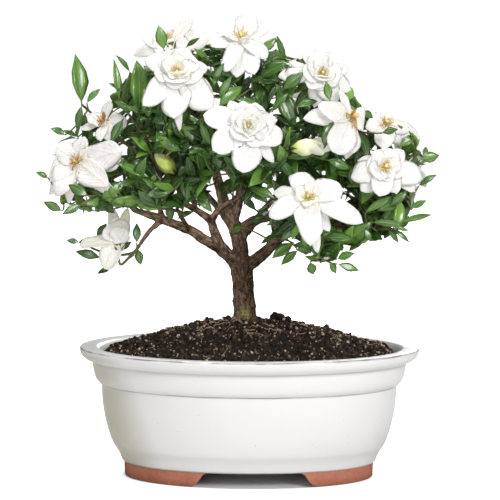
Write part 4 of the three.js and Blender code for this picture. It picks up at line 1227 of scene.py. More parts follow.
# The outline of a petal: share of its length, and half width when it is round and when pointed
PETAL_ROWS = [
    (0, 0.26, 0.26), (0.07, 0.44, 0.44), (0.16, 0.66, 0.68), (0.27, 0.84, 0.88),
    (0.4, 0.96, 0.99), (0.53, 1, 0.98), (0.66, 0.99, 0.86), (0.77, 0.92, 0.7),
    (0.86, 0.79, 0.51), (0.93, 0.6, 0.33), (0.975, 0.4, 0.19), (1, 0.16, 0.04),
]
PETAL_ACROSS = 10
THIN_BLADE = 0.5
SEPAL_LEAN = math.radians(28)
BLOOM_SEPAL = {"curl": -0.3, "cup": 0.3, "tip_cup": 0.2, "crease": 0.2}
BLOOM_SEPAL_ROWS = [(0, 0.7), (0.4, 1), (0.75, 0.6), (1, 0.1)]
FLOWER_TUBE_RINGS = [(-FLOWER_TUBE, 1.2), (-7, 1.7), (-3, 1.9), (-1.2, 2.6)]
PETAL_KNOT = [(-1.5, 2.3), (-0.4, 3.0), (0.7, 2.4)]


class Bloom:
    """Where a bloom stands and how it faces."""

    def __init__(self, name, centre, facing, reach, kind, turn, age):
        self.name, self.reach, self.kind, self.turn, self.age = name, reach, kind, turn, age
        self.place = Vector(centre)
        self.axis = Vector(facing).normalized()
        self.right = UP.cross(self.axis).normalized()
        self.over = self.axis.cross(self.right)
        self.foot = self.place - self.axis * FLOWER_TUBE

    def ray(self, angle):
        return self.right * math.cos(angle) + self.over * math.sin(angle)

    def rings(self, rows):
        """Rings round the bloom's axis from rows of (height, radius)."""
        return [(*(self.place + self.axis * height), radius) for height, radius in rows]


FLOWERS = {name: Bloom(name, *row) for name, row in BLOOMS.items()}


def add_petal(bm, start, direction, face, length, width, curl, draws, cup=0.3, tone=0.0, age=0.0,
              finish=0):
    """One petal, with a form of its own."""
    form = {
        "curl": curl, "late": mix(1.3, 2.2, draws()), "cup": cup,
        "tip_cup": draws.about(-0.12, 0.5), "ruffle": mix(0.04, 0.20, draws()),
        "phase": draws() * FULL_TURN, "waves": mix(5, 10, draws()),
        "crease": draws.about(0.03, 0.14), "twist": draws.about(0, 0.5),
        "round": mix(0.02, 0.05, draws()), "lobe": mix(0.04, 0.13, draws()),
        "lobe_waves": mix(5, 9, draws()), "lean": draws.about(0, 0.30),
        "roll": draws.about(0, 1.1), "pleat": mix(0.01, 0.035, draws()),
        "tip": draws.about(-0.25, 0.6),
    }
    pointed = draws()
    rows = [(share, mix(first, second, pointed)) for share, first, second in PETAL_ROWS]
    made = blade(bm, rows, PETAL_ACROSS, length, width, form, sizes().petal_thickness / MM,
                 (finish, finish), basis(start, direction, face))
    mark(bm, made, tone=tone, age=age)


def outer_petals(bm, bloom, draws):
    """The petals that the front of a bloom shows, each to its own tip."""
    front = SIDE_ON.get(bloom.name)
    for right, above, lift, width, curl, *more in PETALS[bloom.name]:
        cup, tone = more or (0.3, 0.12 * draws())
        deep = -lift
        if not front:
            axis = bloom.axis
            deep = (LAYER_DEPTH * lift - right * axis.x - above * axis.z) / axis.y
            deep = max(-DEEPEST, min(DEEPEST, deep))
        tip = bloom.place + Vector((right, deep, above))
        across = tip - bloom.place
        across -= bloom.axis * across.dot(bloom.axis)
        start = bloom.place - bloom.axis * 0.5 + across.normalized() * PETAL_SEAT
        direction = (tip - start).normalized()
        face = (front or bloom.axis).normalized()
        face = (face - direction * face.dot(direction)).normalized()
        risen = (direction - face * 0.4 * curl).normalized()
        add_petal(bm, start, risen, face, (tip - start).length * 0.98, width * 1.08, curl, draws,
                  cup=cup, tone=tone, age=bloom.age)


def row_petals(bm, bloom, random, draws):
    """The rows of petals of a bloom that the photograph doesn't show."""
    for petals, pitch, length, width, curl, foot, turn in BACK_ROWS[bloom.kind]:
        spread = 360 / petals
        for i in range(petals):
            stray = (random() - 0.5) * 0.25 * spread
            lean = math.radians(random.about(pitch, 16))
            ray = bloom.ray(math.radians(bloom.turn + turn + i * spread + stray))
            direction, face = leaning(bloom.axis, ray, lean)
            start = bloom.place + bloom.axis * foot + ray * PETAL_SEAT
            add_petal(bm, start, direction, face, length * bloom.reach, width * bloom.reach, curl,
                      draws, tone=0.12 * draws())


def cup_petals(bm, bloom, draws):
    """The petals that stand up in the middle of a bloom, paler green towards its heart."""
    for count, pitch, length, width, curl, turn in CUPS[bloom.kind]:
        for i in range(count):
            angle = math.radians(bloom.turn + turn + (i + 0.3 * (draws() - 0.5)) * 360 / count)
            ray = bloom.ray(angle)
            direction, face = leaning(bloom.axis, ray, math.radians(draws.about(pitch, 14)))
            start = bloom.place + bloom.axis * 0.2 + ray * PETAL_SEAT
            size = bloom.reach * mix(0.85, 1.1, draws())
            add_petal(bm, start, direction, face, length * size, width * size, curl, draws,
                      cup=0.55, tone=mix(0.5, 0.1, pitch / 60))


def bloom_shape(bloom, index):
    """The green tube and sepals of a bloom, with all its petals."""
    bm = new_shape()
    tube(bm, smooth_line(bloom.rings(FLOWER_TUBE_RINGS), 3), 12, 1)
    tube(bm, bloom.rings(PETAL_KNOT), 12)
    for i in range(5):
        ray = bloom.ray(i * FULL_TURN / 5)
        direction, face = leaning(bloom.axis, ray, SEPAL_LEAN)
        blade(bm, BLOOM_SEPAL_ROWS, 2, 8, 1.8, BLOOM_SEPAL, THIN_BLADE, (1, 1),
              basis(bloom.place - bloom.axis * 8 + ray * 1.3, direction, face))
    draws = draws_for("petals", index)
    if bloom.name in PETALS:
        outer_petals(bm, bloom, draws)
    else:
        row_petals(bm, bloom, draws_for("back_petals", index), draws)
    cup_petals(bm, bloom, draws)
    return bm


# Hearts: number of anthers, their length, pitch and curl, the club's size, and how brown they are

HEARTS = {
    "left": (13, 6.5, 60, 1.2, 0.5, 0.7), "left_top": (11, 6, 58, 1.2, 0.6, 0.9),
    "low_left": (3, 3, 10, 0.3, 0.35, 0.2), "upper_left": (11, 6, 36, 0.8, 0.45, 0.15),
    "top_left": (3, 5, 20, 0.3, 0.5, 0.2), "top": (9, 7.5, 40, 0.4, 0.5, 0.1),
    "centre": (6, 5, 30, 0.5, 0.4, 0.1), "upper_right": (10, 5.5, 42, 0.8, 0.5, 0.2),
    "right": (14, 6.6, 58, 3.2, 0.85, 0.7), "right_top": (13, 5.5, 52, 1.2, 0.65, 0.35),
    "far_right": (14, 4.6, 56, 1.1, 0.62, 0.05), "low_right": (11, 6, 58, 1.0, 0.5, 0.2),
    "back_left": (10, 8, 55, 0.6, 0.7, 0.8), "back_right": (8, 6, 34, 0.6, 0.6, 0.5),
    "back_low": (10, 8, 55, 0.6, 0.7, 0.8),
}
# Threads that hang from a heart, by how far each swings to the side
THREADS = {"right": (1.5, 3.4, -1.0), "left": (-1.5,)}
THREAD = {"foot": 1.6, "arch": 2.2, "drop": 11.0, "radius": 0.30}
CLUB = [(0, 0.8), (2.5, 1.0), (5.2, 1.6), (6.6, 1.7), (7.6, 1.3), (8.1, 0.5)]
ANTHER_ROWS = [(0, 0.5), (0.15, 0.6), (0.35, 0.85), (0.55, 1), (0.75, 0.95), (0.9, 0.6), (1, 0.2)]


def heart_shape(bloom, index):
    """The club and the anthers in the middle of a bloom."""
    count, length, pitch, curl, size, brown = HEARTS[bloom.name]
    draws = draws_for("heart", index)
    bm = new_shape()
    rings = bloom.rings(
        (HEART_FOOT - 0.6 + height * size, radius * size) for height, radius in CLUB)
    made = tube(bm, smooth_line(rings, 2), 12,
                swell=lambda angle, i: 1 + 0.10 * math.cos(5 * angle) + 0.05 * math.sin(3 * i))
    mark(bm, made, tone=brown)
    layer = bm.verts.layers.float["tone"]
    for i in range(count):
        angle = math.radians(bloom.turn + 30) + (i + 0.5 * (draws() - 0.5)) * FULL_TURN / count
        ray = bloom.ray(angle)
        direction, face = leaning(bloom.axis, ray, math.radians(draws.about(pitch, 30)))
        form = {"curl": draws.about(0, 2.6) * curl, "late": 1.2, "cup": -0.3, "tip_cup": -0.3,
                "ruffle": 0.2, "phase": draws() * 6, "waves": 6, "twist": draws.about(0, 3)}
        start = bloom.place + bloom.axis * (HEART_FOOT + 1.2 * size * draws()) + ray * 0.8
        made = blade(bm, ANTHER_ROWS, 2, length * mix(0.6, 1.05, draws()), 1.3, form, THIN_BLADE,
                     (1, 1), basis(start, direction, face))
        for vertex in made:
            vertex[layer] = min(1.0, brown * mix(0.7, 1.2, draws()))
    for side in THREADS.get(bloom.name, ()):
        start = bloom.place + bloom.axis * THREAD["foot"]
        rings = [(*(start + bloom.axis * THREAD["arch"] * math.sin(math.pi * share)
                    + bloom.right * side * share - UP * THREAD["drop"] * share * share),
                  THREAD["radius"]) for share in (0, 0.2, 0.4, 0.6, 0.8, 1)]
        mark(bm, tube(bm, smooth_line(rings, 2), 6, 1), tone=brown)
    return bm


# Buds: where a bud leaves its stalk, the way it points, its length and its radius

BUDS = {
    "left": ((-43.9, -33, 184.2), (-0.72, -0.17, 0.67), 17, 4.8),
    "right": ((22.9, -56, 200.5), (0.95, -0.2, 0.1), 20, 5.1),
}
OPENING_BUD = "right"
BUD_OUTLINE = [
    (0, 0.26), (0.06, 0.42), (0.16, 0.66), (0.3, 0.93), (0.44, 1), (0.58, 0.95), (0.72, 0.78),
    (0.84, 0.56), (0.94, 0.32), (1, 0.12),
]
BUD_FOLDS = {"count": 5, "depth": 0.17, "twist": 2.2}
BUD_SEPAL_LEAN = math.radians(26)
BUD_SEPAL = {"curl": -0.25, "cup": -0.9, "tip_cup": -0.6}
BUD_SEPAL_ROWS = [(0, 0.8), (0.3, 1), (0.7, 0.55), (1, 0.08)]
# A withered lobe that hangs out at the side of the closed bud
LOBE = {"curl": -0.9, "cup": 0.7, "tip_cup": 0.9, "ruffle": 0.2, "waves": 6, "twist": 0.6}
LOBE_ROWS = [(0, 0.5), (0.3, 1), (0.6, 0.9), (0.85, 0.6), (1, 0.2)]
LOBE_SIDE = Vector((1, -0.35, 0.4))
# The petals that come loose from the opening bud, as angle, pitch and length
LOOSE_PETALS = ((0.4, 24, 15), (3.5, 27, 13), (2.0, 10, 11.5))


def bud_shape(base, facing, length, radius, opening):
    """Petals furled in a spiral above a green calyx, and loose ones where the bud opens."""
    foot, axis = Vector(base), Vector(facing).normalized()
    bm = new_shape()
    line = smooth_line(BUD_OUTLINE, 2)
    rings = [(*(foot + axis * share * length), swell * radius) for share, swell in line]

    def folds(angle, i):
        share = line[i][0]
        turned = BUD_FOLDS["count"] * (angle + BUD_FOLDS["twist"] * share)
        saw = (turned / FULL_TURN) % 1.0
        return 1 - BUD_FOLDS["depth"] / 2 + BUD_FOLDS["depth"] * saw ** 3 * min(1, share * 4)

    mark(bm, tube(bm, rings, 40, swell=folds), tone=0.8 if opening else 0.0)
    for i in range(6):
        ray = ray_round(axis, -i * FULL_TURN / 6)
        direction, face = leaning(axis, ray, BUD_SEPAL_LEAN)
        blade(bm, BUD_SEPAL_ROWS, 2, 6.5, 2.2, BUD_SEPAL, THIN_BLADE, (1, 1),
              basis(foot + ray * 0.9 - axis * 0.6, direction, face))
    if opening:
        draws = draws_for("bud")
        for angle, pitch, long in LOOSE_PETALS:
            ray = ray_round(axis, -angle)
            direction, face = leaning(axis, ray, math.radians(pitch))
            add_petal(bm, foot + axis * length * 0.42 + ray * radius * 0.55, direction, face, long,
                      7.5, -0.1, draws, cup=0.9, tone=0.8, finish=2)
    else:
        ray = (LOBE_SIDE - axis * axis.dot(LOBE_SIDE)).normalized()
        start = foot + axis * length * 0.62 + ray * radius * 0.75
        made = blade(bm, LOBE_ROWS, 4, 9.0, 3.6, LOBE, THIN_BLADE, (3, 3),
                     basis(start, axis * 0.35 + ray, axis - ray * 0.35))
        mark(bm, made, tone=0.6)
    return bm


# Leaves and shoots

# What grows from the end of each limb: ("bloom", name), ("bud", name), or a leafy shoot as the
# place of its end, its whorls, the leaves in each and their length, and for some the place and
# the width of the leaf at its tip
SPRAYS = {
    "left": [("bloom", "left"), (-112, -4, 166, 2, 3, 22), (-104, 8, 202, 1, 3, 22),
        (-88, -22, 172, 1, 3, 20)],
    "left_low": [(-72, -30, 180, 2, 2, 24), (-62, -32, 168, 1, 3, 22), (-66, -2, 188, 1, 2, 22)],
    "droop": [("bloom", "low_left"), (-84, -3, 133, 1, 3, 18), (-73, -5, 131, 1, 2, 16)],
    "inner_left": [(-54, -42, 164, 2, 2, 24), (-38, -46, 160, 1, 3, 22),
        (-30, -38, 172, 1, 2, 22)],
    "upper_left": [(-65.5, -32, 218.8, 2, 2, 22, -64.2, -33, 252.8, 1.05),
        (-77.7, -22, 225.5, 1, 2, 22, -80.2, -22, 251.5, 0.5), (-44, -42, 208, 2, 2, 24)],
    "left_top": [("bloom", "left_top"), (-101.4, 6, 222.4, 1, 2, 20, -104.1, 6, 253.6, 0.9),
        (-86, -16, 206, 1, 3, 24)],
    "bud_left": [("bud", "left"), (-28, -48, 186, 2, 2, 24), (-44, -50, 176, 1, 3, 22)],
    "centre": [("bloom", "centre"), (12, -58, 188, 2, 2, 24), (-16, -60, 188, 2, 2, 24)],
    "twig": [(-24, -50, 203, 2, 2, 26), (-38, -46, 204, 1, 3, 24), (-8, -42, 200, 1, 2, 24)],
    "top_left": [("bloom", "upper_left"), ("bloom", "top_left"), (-28, -22, 247, 1, 3, 22),
        (-60, -10, 238, 1, 2, 22)],
    "top": [("bloom", "top"), (16, 0, 262, 1, 3, 20), (-22, 12, 256, 1, 3, 22),
        (6, -24, 238, 2, 2, 24)],
    "upper_right": [("bloom", "upper_right"), (20, -24, 238, 2, 2, 26), (52, -34, 226, 1, 3, 24),
        (54, 6, 232, 1, 3, 22), (28, 16, 250, 1, 3, 22)],
    "right": [("bloom", "right"), ("bloom", "right_top"), (64, -8, 220, 1, 3, 20)],
    "right_mid": [("bloom", "far_right"), (103, -28, 192, 2, 2, 20), (94, -32, 170, 1, 3, 20),
        (99, 0, 196, 2, 3, 20)],
    "right_low": [(92, -10, 166, 2, 2, 22), (85, -16, 154, 1, 3, 20), (72, -24, 150, 1, 3, 20)],
    "low_centre": [("bloom", "low_right"), (12, -50, 146, 2, 2, 22), (44, -46, 144, 1, 3, 24)],
    "low_right": [(54, -36, 143, 2, 2, 24), (44, -38, 134, 1, 3, 22)],
    "inner_right": [("bud", "right"), (48, -34, 196, 2, 2, 24), (26, -38, 212, 1, 3, 26),
        (56, -20, 184, 1, 3, 24)],
    "back_left": [("bloom", "back_left"), (-68, 42, 188, 2, 3, 24), (-34, 66, 182, 2, 2, 24),
        (-58, 30, 165, 1, 3, 24)],
    "back_right": [("bloom", "back_right"), (62, 52, 205, 2, 3, 24), (20, 66, 200, 2, 2, 24),
        (40, 62, 175, 1, 3, 22)],
    "back_low": [("bloom", "back_low"), (78, 48, 195, 2, 2, 24), (70, 52, 155, 2, 3, 22)],
    "back_mid": [(-6, 64, 220, 2, 3, 24), (6, 70, 195, 2, 2, 24), (-18, 52, 236, 2, 2, 24)],
    "back_top": [(-72, 22, 222, 2, 3, 24), (-58, 36, 232, 2, 2, 24), (-44, 30, 246, 1, 3, 22)],
}

# Leaves that stand out at the front, for each spray: foot and tip as the view shows them, how far
# back they stand, their width as shown, and their tone from dark to bright
FRONT_LEAVES = {
    "left_top": [(86.7, 103.3, 98.3, 85.8, -8, 7, 0.6), (81.7, 105, 75.8, 130.8, -8, 8, 0.4),
        (65, 135, 51, 126, 0, 8, 0.45), (78, 137, 62, 129, 4, 6, 0.35),
        (123, 119, 110, 143, -30, 10, 0.35)],
    "upper_left": [(130, 72, 116.7, 53.7, -20, 6, 0.5), (140, 110, 167, 110, -36, 6.5, 0.6),
        (133, 93, 108, 82, -22, 7, 0.45), (157.5, 142, 181, 122, -38, 9, 0.55),
        (134, 112, 112, 99, -30, 7, 0.5)],
    "top_left": [(164, 50, 158.7, 25, -32, 12, 0.68), (209, 60, 194, 48, -30, 6.5, 0.62),
        (219, 98, 231, 76, -40, 9, 0.55), (186, 47, 199, 37, -24, 5, 0.2),
        (212, 84, 224, 62, -36, 8, 0.4)],
    "left": [(88, 196, 68.3, 183, -42, 12, 0.4), (82, 204, 62, 214, -40, 8.5, 0.4),
        (62, 211, 43, 201, -30, 9, 0.4), (48, 178, 36.7, 171, -18, 6, 0.45),
        (112, 195, 90, 190, -26, 9, 0.3), (96, 200, 118, 212, -22, 10, 0.25)],
    "left_low": [(150, 178, 116.7, 161, -42, 11, 0.55), (128, 190, 148, 205, -30, 9, 0.3),
        (150, 148, 130, 138, -36, 8, 0.35)],
    "inner_left": [(170, 221, 169, 201, -30, 9, 0.45), (193, 211, 176, 218, -24, 7, 0.4),
        (172, 195, 186, 209, -34, 9, 0.4), (180, 183, 198, 198, -44, 12, 0.68),
        (196, 196, 214, 210, -36, 9, 0.6)],
    "droop": [(136.7, 243, 136.7, 222, -16, 8.5, 0.5), (138, 249, 139.5, 265, -14, 9, 0.45),
        (101, 258, 75, 249.5, -4, 9.5, 0.4), (79, 242, 66.5, 239.5, -6, 6, 0.4),
        (96.5, 237, 106, 223, -5, 8, 0.25), (80, 241, 88, 239, -6, 3, 0.3),
        (121, 250, 131, 241, -8, 7, 0.15), (112, 267, 97, 273, -3, 6, 0.1)],
    "twig": [(212, 158, 192, 146, -58, 8.5, 0.5), (211, 146, 199, 121, -58, 8, 0.55),
        (214, 172, 232, 160, -50, 9, 0.35)],
    "top": [(218, 107, 243, 82, -42, 14, 0.6), (261, 52, 277, 37, -16, 9.5, 0.68),
        (286, 62, 276.5, 35, -14, 6.5, 0.5), (265, 68, 275, 48, -10, 6, 0.35),
        (236, 100, 262, 104, -44, 9, 0.5)],
    "upper_right": [(283, 90, 303, 71, -46, 13, 0.5), (330, 101, 325.5, 80, -62, 8.5, 0.6),
        (272, 112, 286, 90, -46, 10, 0.45), (296, 108, 318, 96, -50, 9, 0.4)],
    "right": [(324, 148, 331, 118, -68, 13, 0.4), (362, 112, 374, 117, -34, 9, 0.4),
        (382, 133, 398, 128, -40, 8, 0.3)],
    "right_mid": [(399, 147, 417, 133, -34, 10, 0.58), (420, 160, 440, 154, -26, 12, 0.55),
        (424, 157, 427, 145, -24, 6, 0.4), (419, 186, 436, 172, -30, 7.5, 0.5),
        (352, 184, 352, 166, -52, 9, 0.35)],
    "right_low": [(411, 208, 427, 200, -38, 7, 0.58), (399, 223, 433, 211.5, -40, 7.5, 0.55),
        (365, 213, 391.7, 195, -60, 11, 0.6), (388, 229, 399.5, 243.5, -42, 7, 0.4),
        (394, 229, 411, 242, -40, 5, 0.4), (365, 229, 372, 242, -48, 8, 0.4),
        (392, 226, 410, 231, -44, 5, 0.6), (372, 222, 404, 224, -54, 8, 0.5),
        (390, 206, 408, 190, -50, 9, 0.4)],
    "inner_right": [(322, 152, 282, 157.5, -54, 9.5, 0.55),
        (327, 160, 352, 166.5, -58, 10.5, 0.5)],
    "centre": [(276, 199, 247, 184, -58, 11, 0.5), (240, 196, 258, 210, -44, 8, 0.35)],
    "low_centre": [(280, 236, 257, 241, -46, 8, 0.45), (297, 232, 283, 216, -50, 10, 0.6),
        (242, 226, 231, 231, -34, 9, 0.5), (294, 243, 271, 257, -56, 12, 0.6),
        (298, 250, 280, 265, -52, 9, 0.6), (266, 216, 250, 222, -40, 6, 0.3)],
    "low_right": [(322, 238, 354, 236, -52, 12, 0.5), (337, 259, 353.5, 251.5, -48, 9, 0.55),
        (310, 262, 314, 276, -50, 10, 0.5), (329, 262, 339, 274, -48, 8, 0.55),
        (337.5, 264, 360.5, 270, -48, 8.5, 0.55), (308, 247, 325, 258, -54, 7, 0.5)],
}

CROWN_MIDDLE = Vector((0, 0, 195))

# The outline of the crown as the view shows it
CROWN_OUTLINE = [
    (40, 178), (44, 160), (54, 132), (70, 128), (78, 108), (88, 90), (100, 90), (112, 88),
    (118, 62), (128, 62), (134, 70), (142, 56), (152, 40), (162, 30), (186, 26), (206, 44),
    (224, 30), (250, 24), (268, 42), (284, 58), (300, 58), (330, 58), (348, 72), (352, 95),
    (372, 104), (398, 112), (414, 128), (430, 150), (427, 172), (417, 190), (416, 206),
    (408, 222), (400, 234), (384, 240), (366, 239), (354, 245), (336, 258), (316, 264),
    (296, 256), (280, 250), (268, 240), (254, 232), (240, 228), (226, 216), (212, 206),
    (196, 204), (180, 206), (160, 204), (140, 204), (124, 208), (112, 212), (92, 214), (68, 208),
    (46, 198),
]

# The view that the photograph shows: where the camera looks, how far it stands, and its lens
VIEW = {"aim": 136.0, "height": 313.0, "distance": 1900.0, "lens": 228.0, "sensor": 36.0,
        "roll": -0.35, "size": 500}
VIEW_MIDDLE = VIEW["size"] / 2
FOCUS = VIEW["lens"] / VIEW["sensor"] * VIEW["size"]
# Millimetres at the trunk in one step of the view
SHOWN_MM = 0.6


def view_axes():
    """The camera's place, and the axes ahead of it, to its right and up."""
    drop = VIEW["height"] - VIEW["aim"]
    place = Vector((0, -math.sqrt(VIEW["distance"] ** 2 - drop ** 2), VIEW["height"]))
    ahead = (Vector((0, 0, VIEW["aim"])) - place).normalized()
    right = ahead.cross(UP).normalized()
    up = right.cross(ahead)
    roll = math.radians(VIEW["roll"])
    return (place, ahead, right * math.cos(roll) - up * math.sin(roll),
            right * math.sin(roll) + up * math.cos(roll))


EYE, AHEAD, RIGHTWARD, UPWARD = view_axes()


def shown_at(place):
    """Where the view shows a place."""
    away = place - EYE
    depth = away.dot(AHEAD)
    return (VIEW_MIDDLE + FOCUS * away.dot(RIGHTWARD) / depth,
            VIEW_MIDDLE - FOCUS * away.dot(UPWARD) / depth)


def place_of(across, down, y):
    """The place at depth y that the view shows there."""
    line = AHEAD * FOCUS + RIGHTWARD * (across - VIEW_MIDDLE) - UPWARD * (down - VIEW_MIDDLE)
    return EYE + line * ((y - EYE.y) / line.y)


# Where the view shows the limbs between the leaves, as (across, down, reach)
CLEARINGS = [
    (152, 226, 12), (166, 222, 12), (178, 214, 9), (190, 220, 11), (203, 222, 13),
    (218, 220, 14), (232, 208, 13), (238, 188, 10), (226, 172, 8), (217, 184, 9), (218, 200, 10),
    (250, 216, 12), (244, 230, 10), (262, 232, 10), (150, 142, 5), (157, 157, 5), (142, 122, 5),
    (276, 172, 7), (268, 190, 7), (160, 163, 12), (256, 205, 9), (196, 206, 9), (213, 166, 8),
    (215, 177, 9), (219, 189, 9), (162, 179, 7), (170, 190, 7), (180, 199, 7), (189, 206, 8),
]
CLEARED_BEFORE = 12.0


def in_clearing(place):
    x, y = shown_at(place)
    return place.y < CLEARED_BEFORE and any(
        math.hypot(x - a, y - b) < reach for a, b, reach in CLEARINGS)


def in_crown(place):
    """Whether a place shows inside the crown's outline."""
    x, y = shown_at(place)
    inside = False
    for (ax, ay), (bx, by) in zip(CROWN_OUTLINE, CROWN_OUTLINE[1:] + CROWN_OUTLINE[:1]):
        if (ay > y) != (by > y) and x < (bx - ax) * (y - ay) / (by - ay) + ax:
            inside = not inside
    return inside


# What a bloom fills, in shares of its reach: to its sides, and behind and before its middle
BLOOM_WIDTH = 0.95
BLOOM_DEPTH = (-0.25, 0.7)


def inside_bloom(spot):
    for bloom in FLOWERS.values():
        away = spot - bloom.place
        height = away.dot(bloom.axis)
        aside = (away - bloom.axis * height).length
        behind, before = (share * bloom.reach for share in BLOOM_DEPTH)
        if aside < BLOOM_WIDTH * bloom.reach and behind < height < before:
            return True
    return False


# The blooms and buds at the front: where each is, how far behind it a leaf would still be in its
# way, and how far from it
KEPT_IN_SIGHT = [(bloom.place, 4, BLOOM_WIDTH * bloom.reach)
                 for bloom in FLOWERS.values() if bloom.place.y < 20]
KEPT_IN_SIGHT += [(Vector(base) + Vector(facing).normalized() * length / 2, 6, 10)
                  for base, facing, length, _ in BUDS.values()]


def hides_bloom(spot):
    """Whether something at spot stands before a bloom or a bud at the front."""
    x, y = shown_at(spot)
    for place, margin, reach in KEPT_IN_SIGHT:
        across, down = shown_at(place)
        if spot.y < place.y + margin and math.hypot(x - across, y - down) * SHOWN_MM < reach:
            return True
    return False


LEAF_PARTS = (0.55, 1.0)


def fits(leaf):
    start, direction, _, length = leaf[:4]
    spots = [start + direction * length * part for part in LEAF_PARTS]
    return not any(
        inside_bloom(spot) or hides_bloom(spot) or in_clearing(spot) or not in_crown(spot)
        for spot in spots)


LEAF_ROWS = [
    (0, 0.05), (0.08, 0.09), (0.22, 0.56), (0.42, 1), (0.64, 0.9), (0.84, 0.44), (1, 0.02),
]
LEAF_KINDS = 10
LEAF_THICKNESS = 0.022
# How far leaves lean from their shoot, at its foot and at its tip: those along it, those at its
# tip and those at the tip of a side shoot; and how much their lean and their turn vary
LEAF_LEAN = (72, 46)
TIP_LEAN = (50, 34)
SIDE_LEAN = (60, 38)
LEAN_SPREAD = 24
TURN_SPREAD = 0.7
TIP_TONE = 0.62
# How far round its shoot a leaf may move where it doesn't fit
TURNS = (0, 0.7, -0.7, 1.4)
# The leaves below a bloom or a bud, as (share of the way up, number), and their length
STALK_WHORLS = ((0.4, 2), (0.62, 2), (0.82, 3), (0.96, 4))
STALK_LEAF = 20
# The pairs of leaves below the tip of a leafy shoot, and where it has side shoots
PAIR_SHARES = (0.4, 0.7)
SIDE_SHARES = (0.35, 0.68)
# The least and greatest length of side shoots on a shoot and on a limb, and that of their leaves
SIDE_SHOOT = (9, 17, 18)
LIMB_SHOOT = (12, 24, 19)
# How far up a limb its shoots start, and the thickest place that bears one
LIMB_BARE = 0.3
LIMB_BEARING = 2.3
SHOOT_SPACING = 1.6
SHOOT_START = 1.4
# Radius at the foot and at the tip, and sides, of a shoot, a side shoot and the stem of one leaf
MAIN_STEM = (0.95, 0.75, 7)
SIDE_STEM = (0.62, 0.4, 5)
LEAF_STEM = (0.6, 0.45, 5)


def leaf_templates():
    """Leaves of length 1, each bent in its own way."""
    draws = draws_for("leaf_forms")
    made = []
    for _ in range(LEAF_KINDS):
        bm = new_shape()
        form = {"curl": draws.about(-0.55, 0.9), "late": 1.2, "cup": draws.about(0.12, 0.2),
                "tip_cup": draws.about(0.0, 0.3), "ruffle": mix(0.04, 0.16, draws()),
                "phase": draws() * FULL_TURN, "waves": mix(7, 14, draws()),
                "crease": mix(0.05, 0.28, draws()), "twist": draws.about(0, 0.7)}
        blade(bm, LEAF_ROWS, 4, 1, sizes().leaf_width, form, LEAF_THICKNESS, (0, 1))
        made.append(mesh_from(bm, "leaf_form"))
    return made


def seated(start, along, angle, lean):
    """The foot, the direction and the face of a leaf at an angle round a shoot."""
    direction, face = leaning(along, ray_round(along, angle), lean)
    return start, direction, face + (start - CROWN_MIDDLE).normalized() * 0.5 + UP * 0.6


def stalk_end(kind, name):
    """Where the foot of a bloom or a bud is, and how it faces."""
    if kind == "bloom":
        return FLOWERS[name].foot, FLOWERS[name].axis
    base, facing = BUDS[name][:2]
    return Vector(base), Vector(facing).normalized()


def cad_leaves(curve, row, random, draws):
    """The leaves that the part's own solids have on a shoot."""
    whorls, count, size = row
    made = []
    first = random() * FULL_TURN
    for step in range(whorls):
        top = 0.97 if whorls == 1 else mix(0.5, 0.97, step / (whorls - 1))
        for i in range(count):
            share = top - i * 0.08
            start, along = bezier(curve, share), tangent(curve, share)
            angle = random.about(first + (i + step / 2) * FULL_TURN / count, TURN_SPREAD)
            lean = math.radians(random.about(mix(*LEAF_LEAN, share), LEAN_SPREAD))
            length = size * (0.8 + 0.35 * random())
            for turn in TURNS:
                seat = seated(start, along, angle + turn, lean)
                if not any(inside_bloom(start + seat[1] * part * length) for part in LEAF_PARTS):
                    leaf = (*seat, length, 1.0, 0.2 + 0.5 * draws())
                    if fits(leaf):
                        made.append(leaf)
                    break
    return made


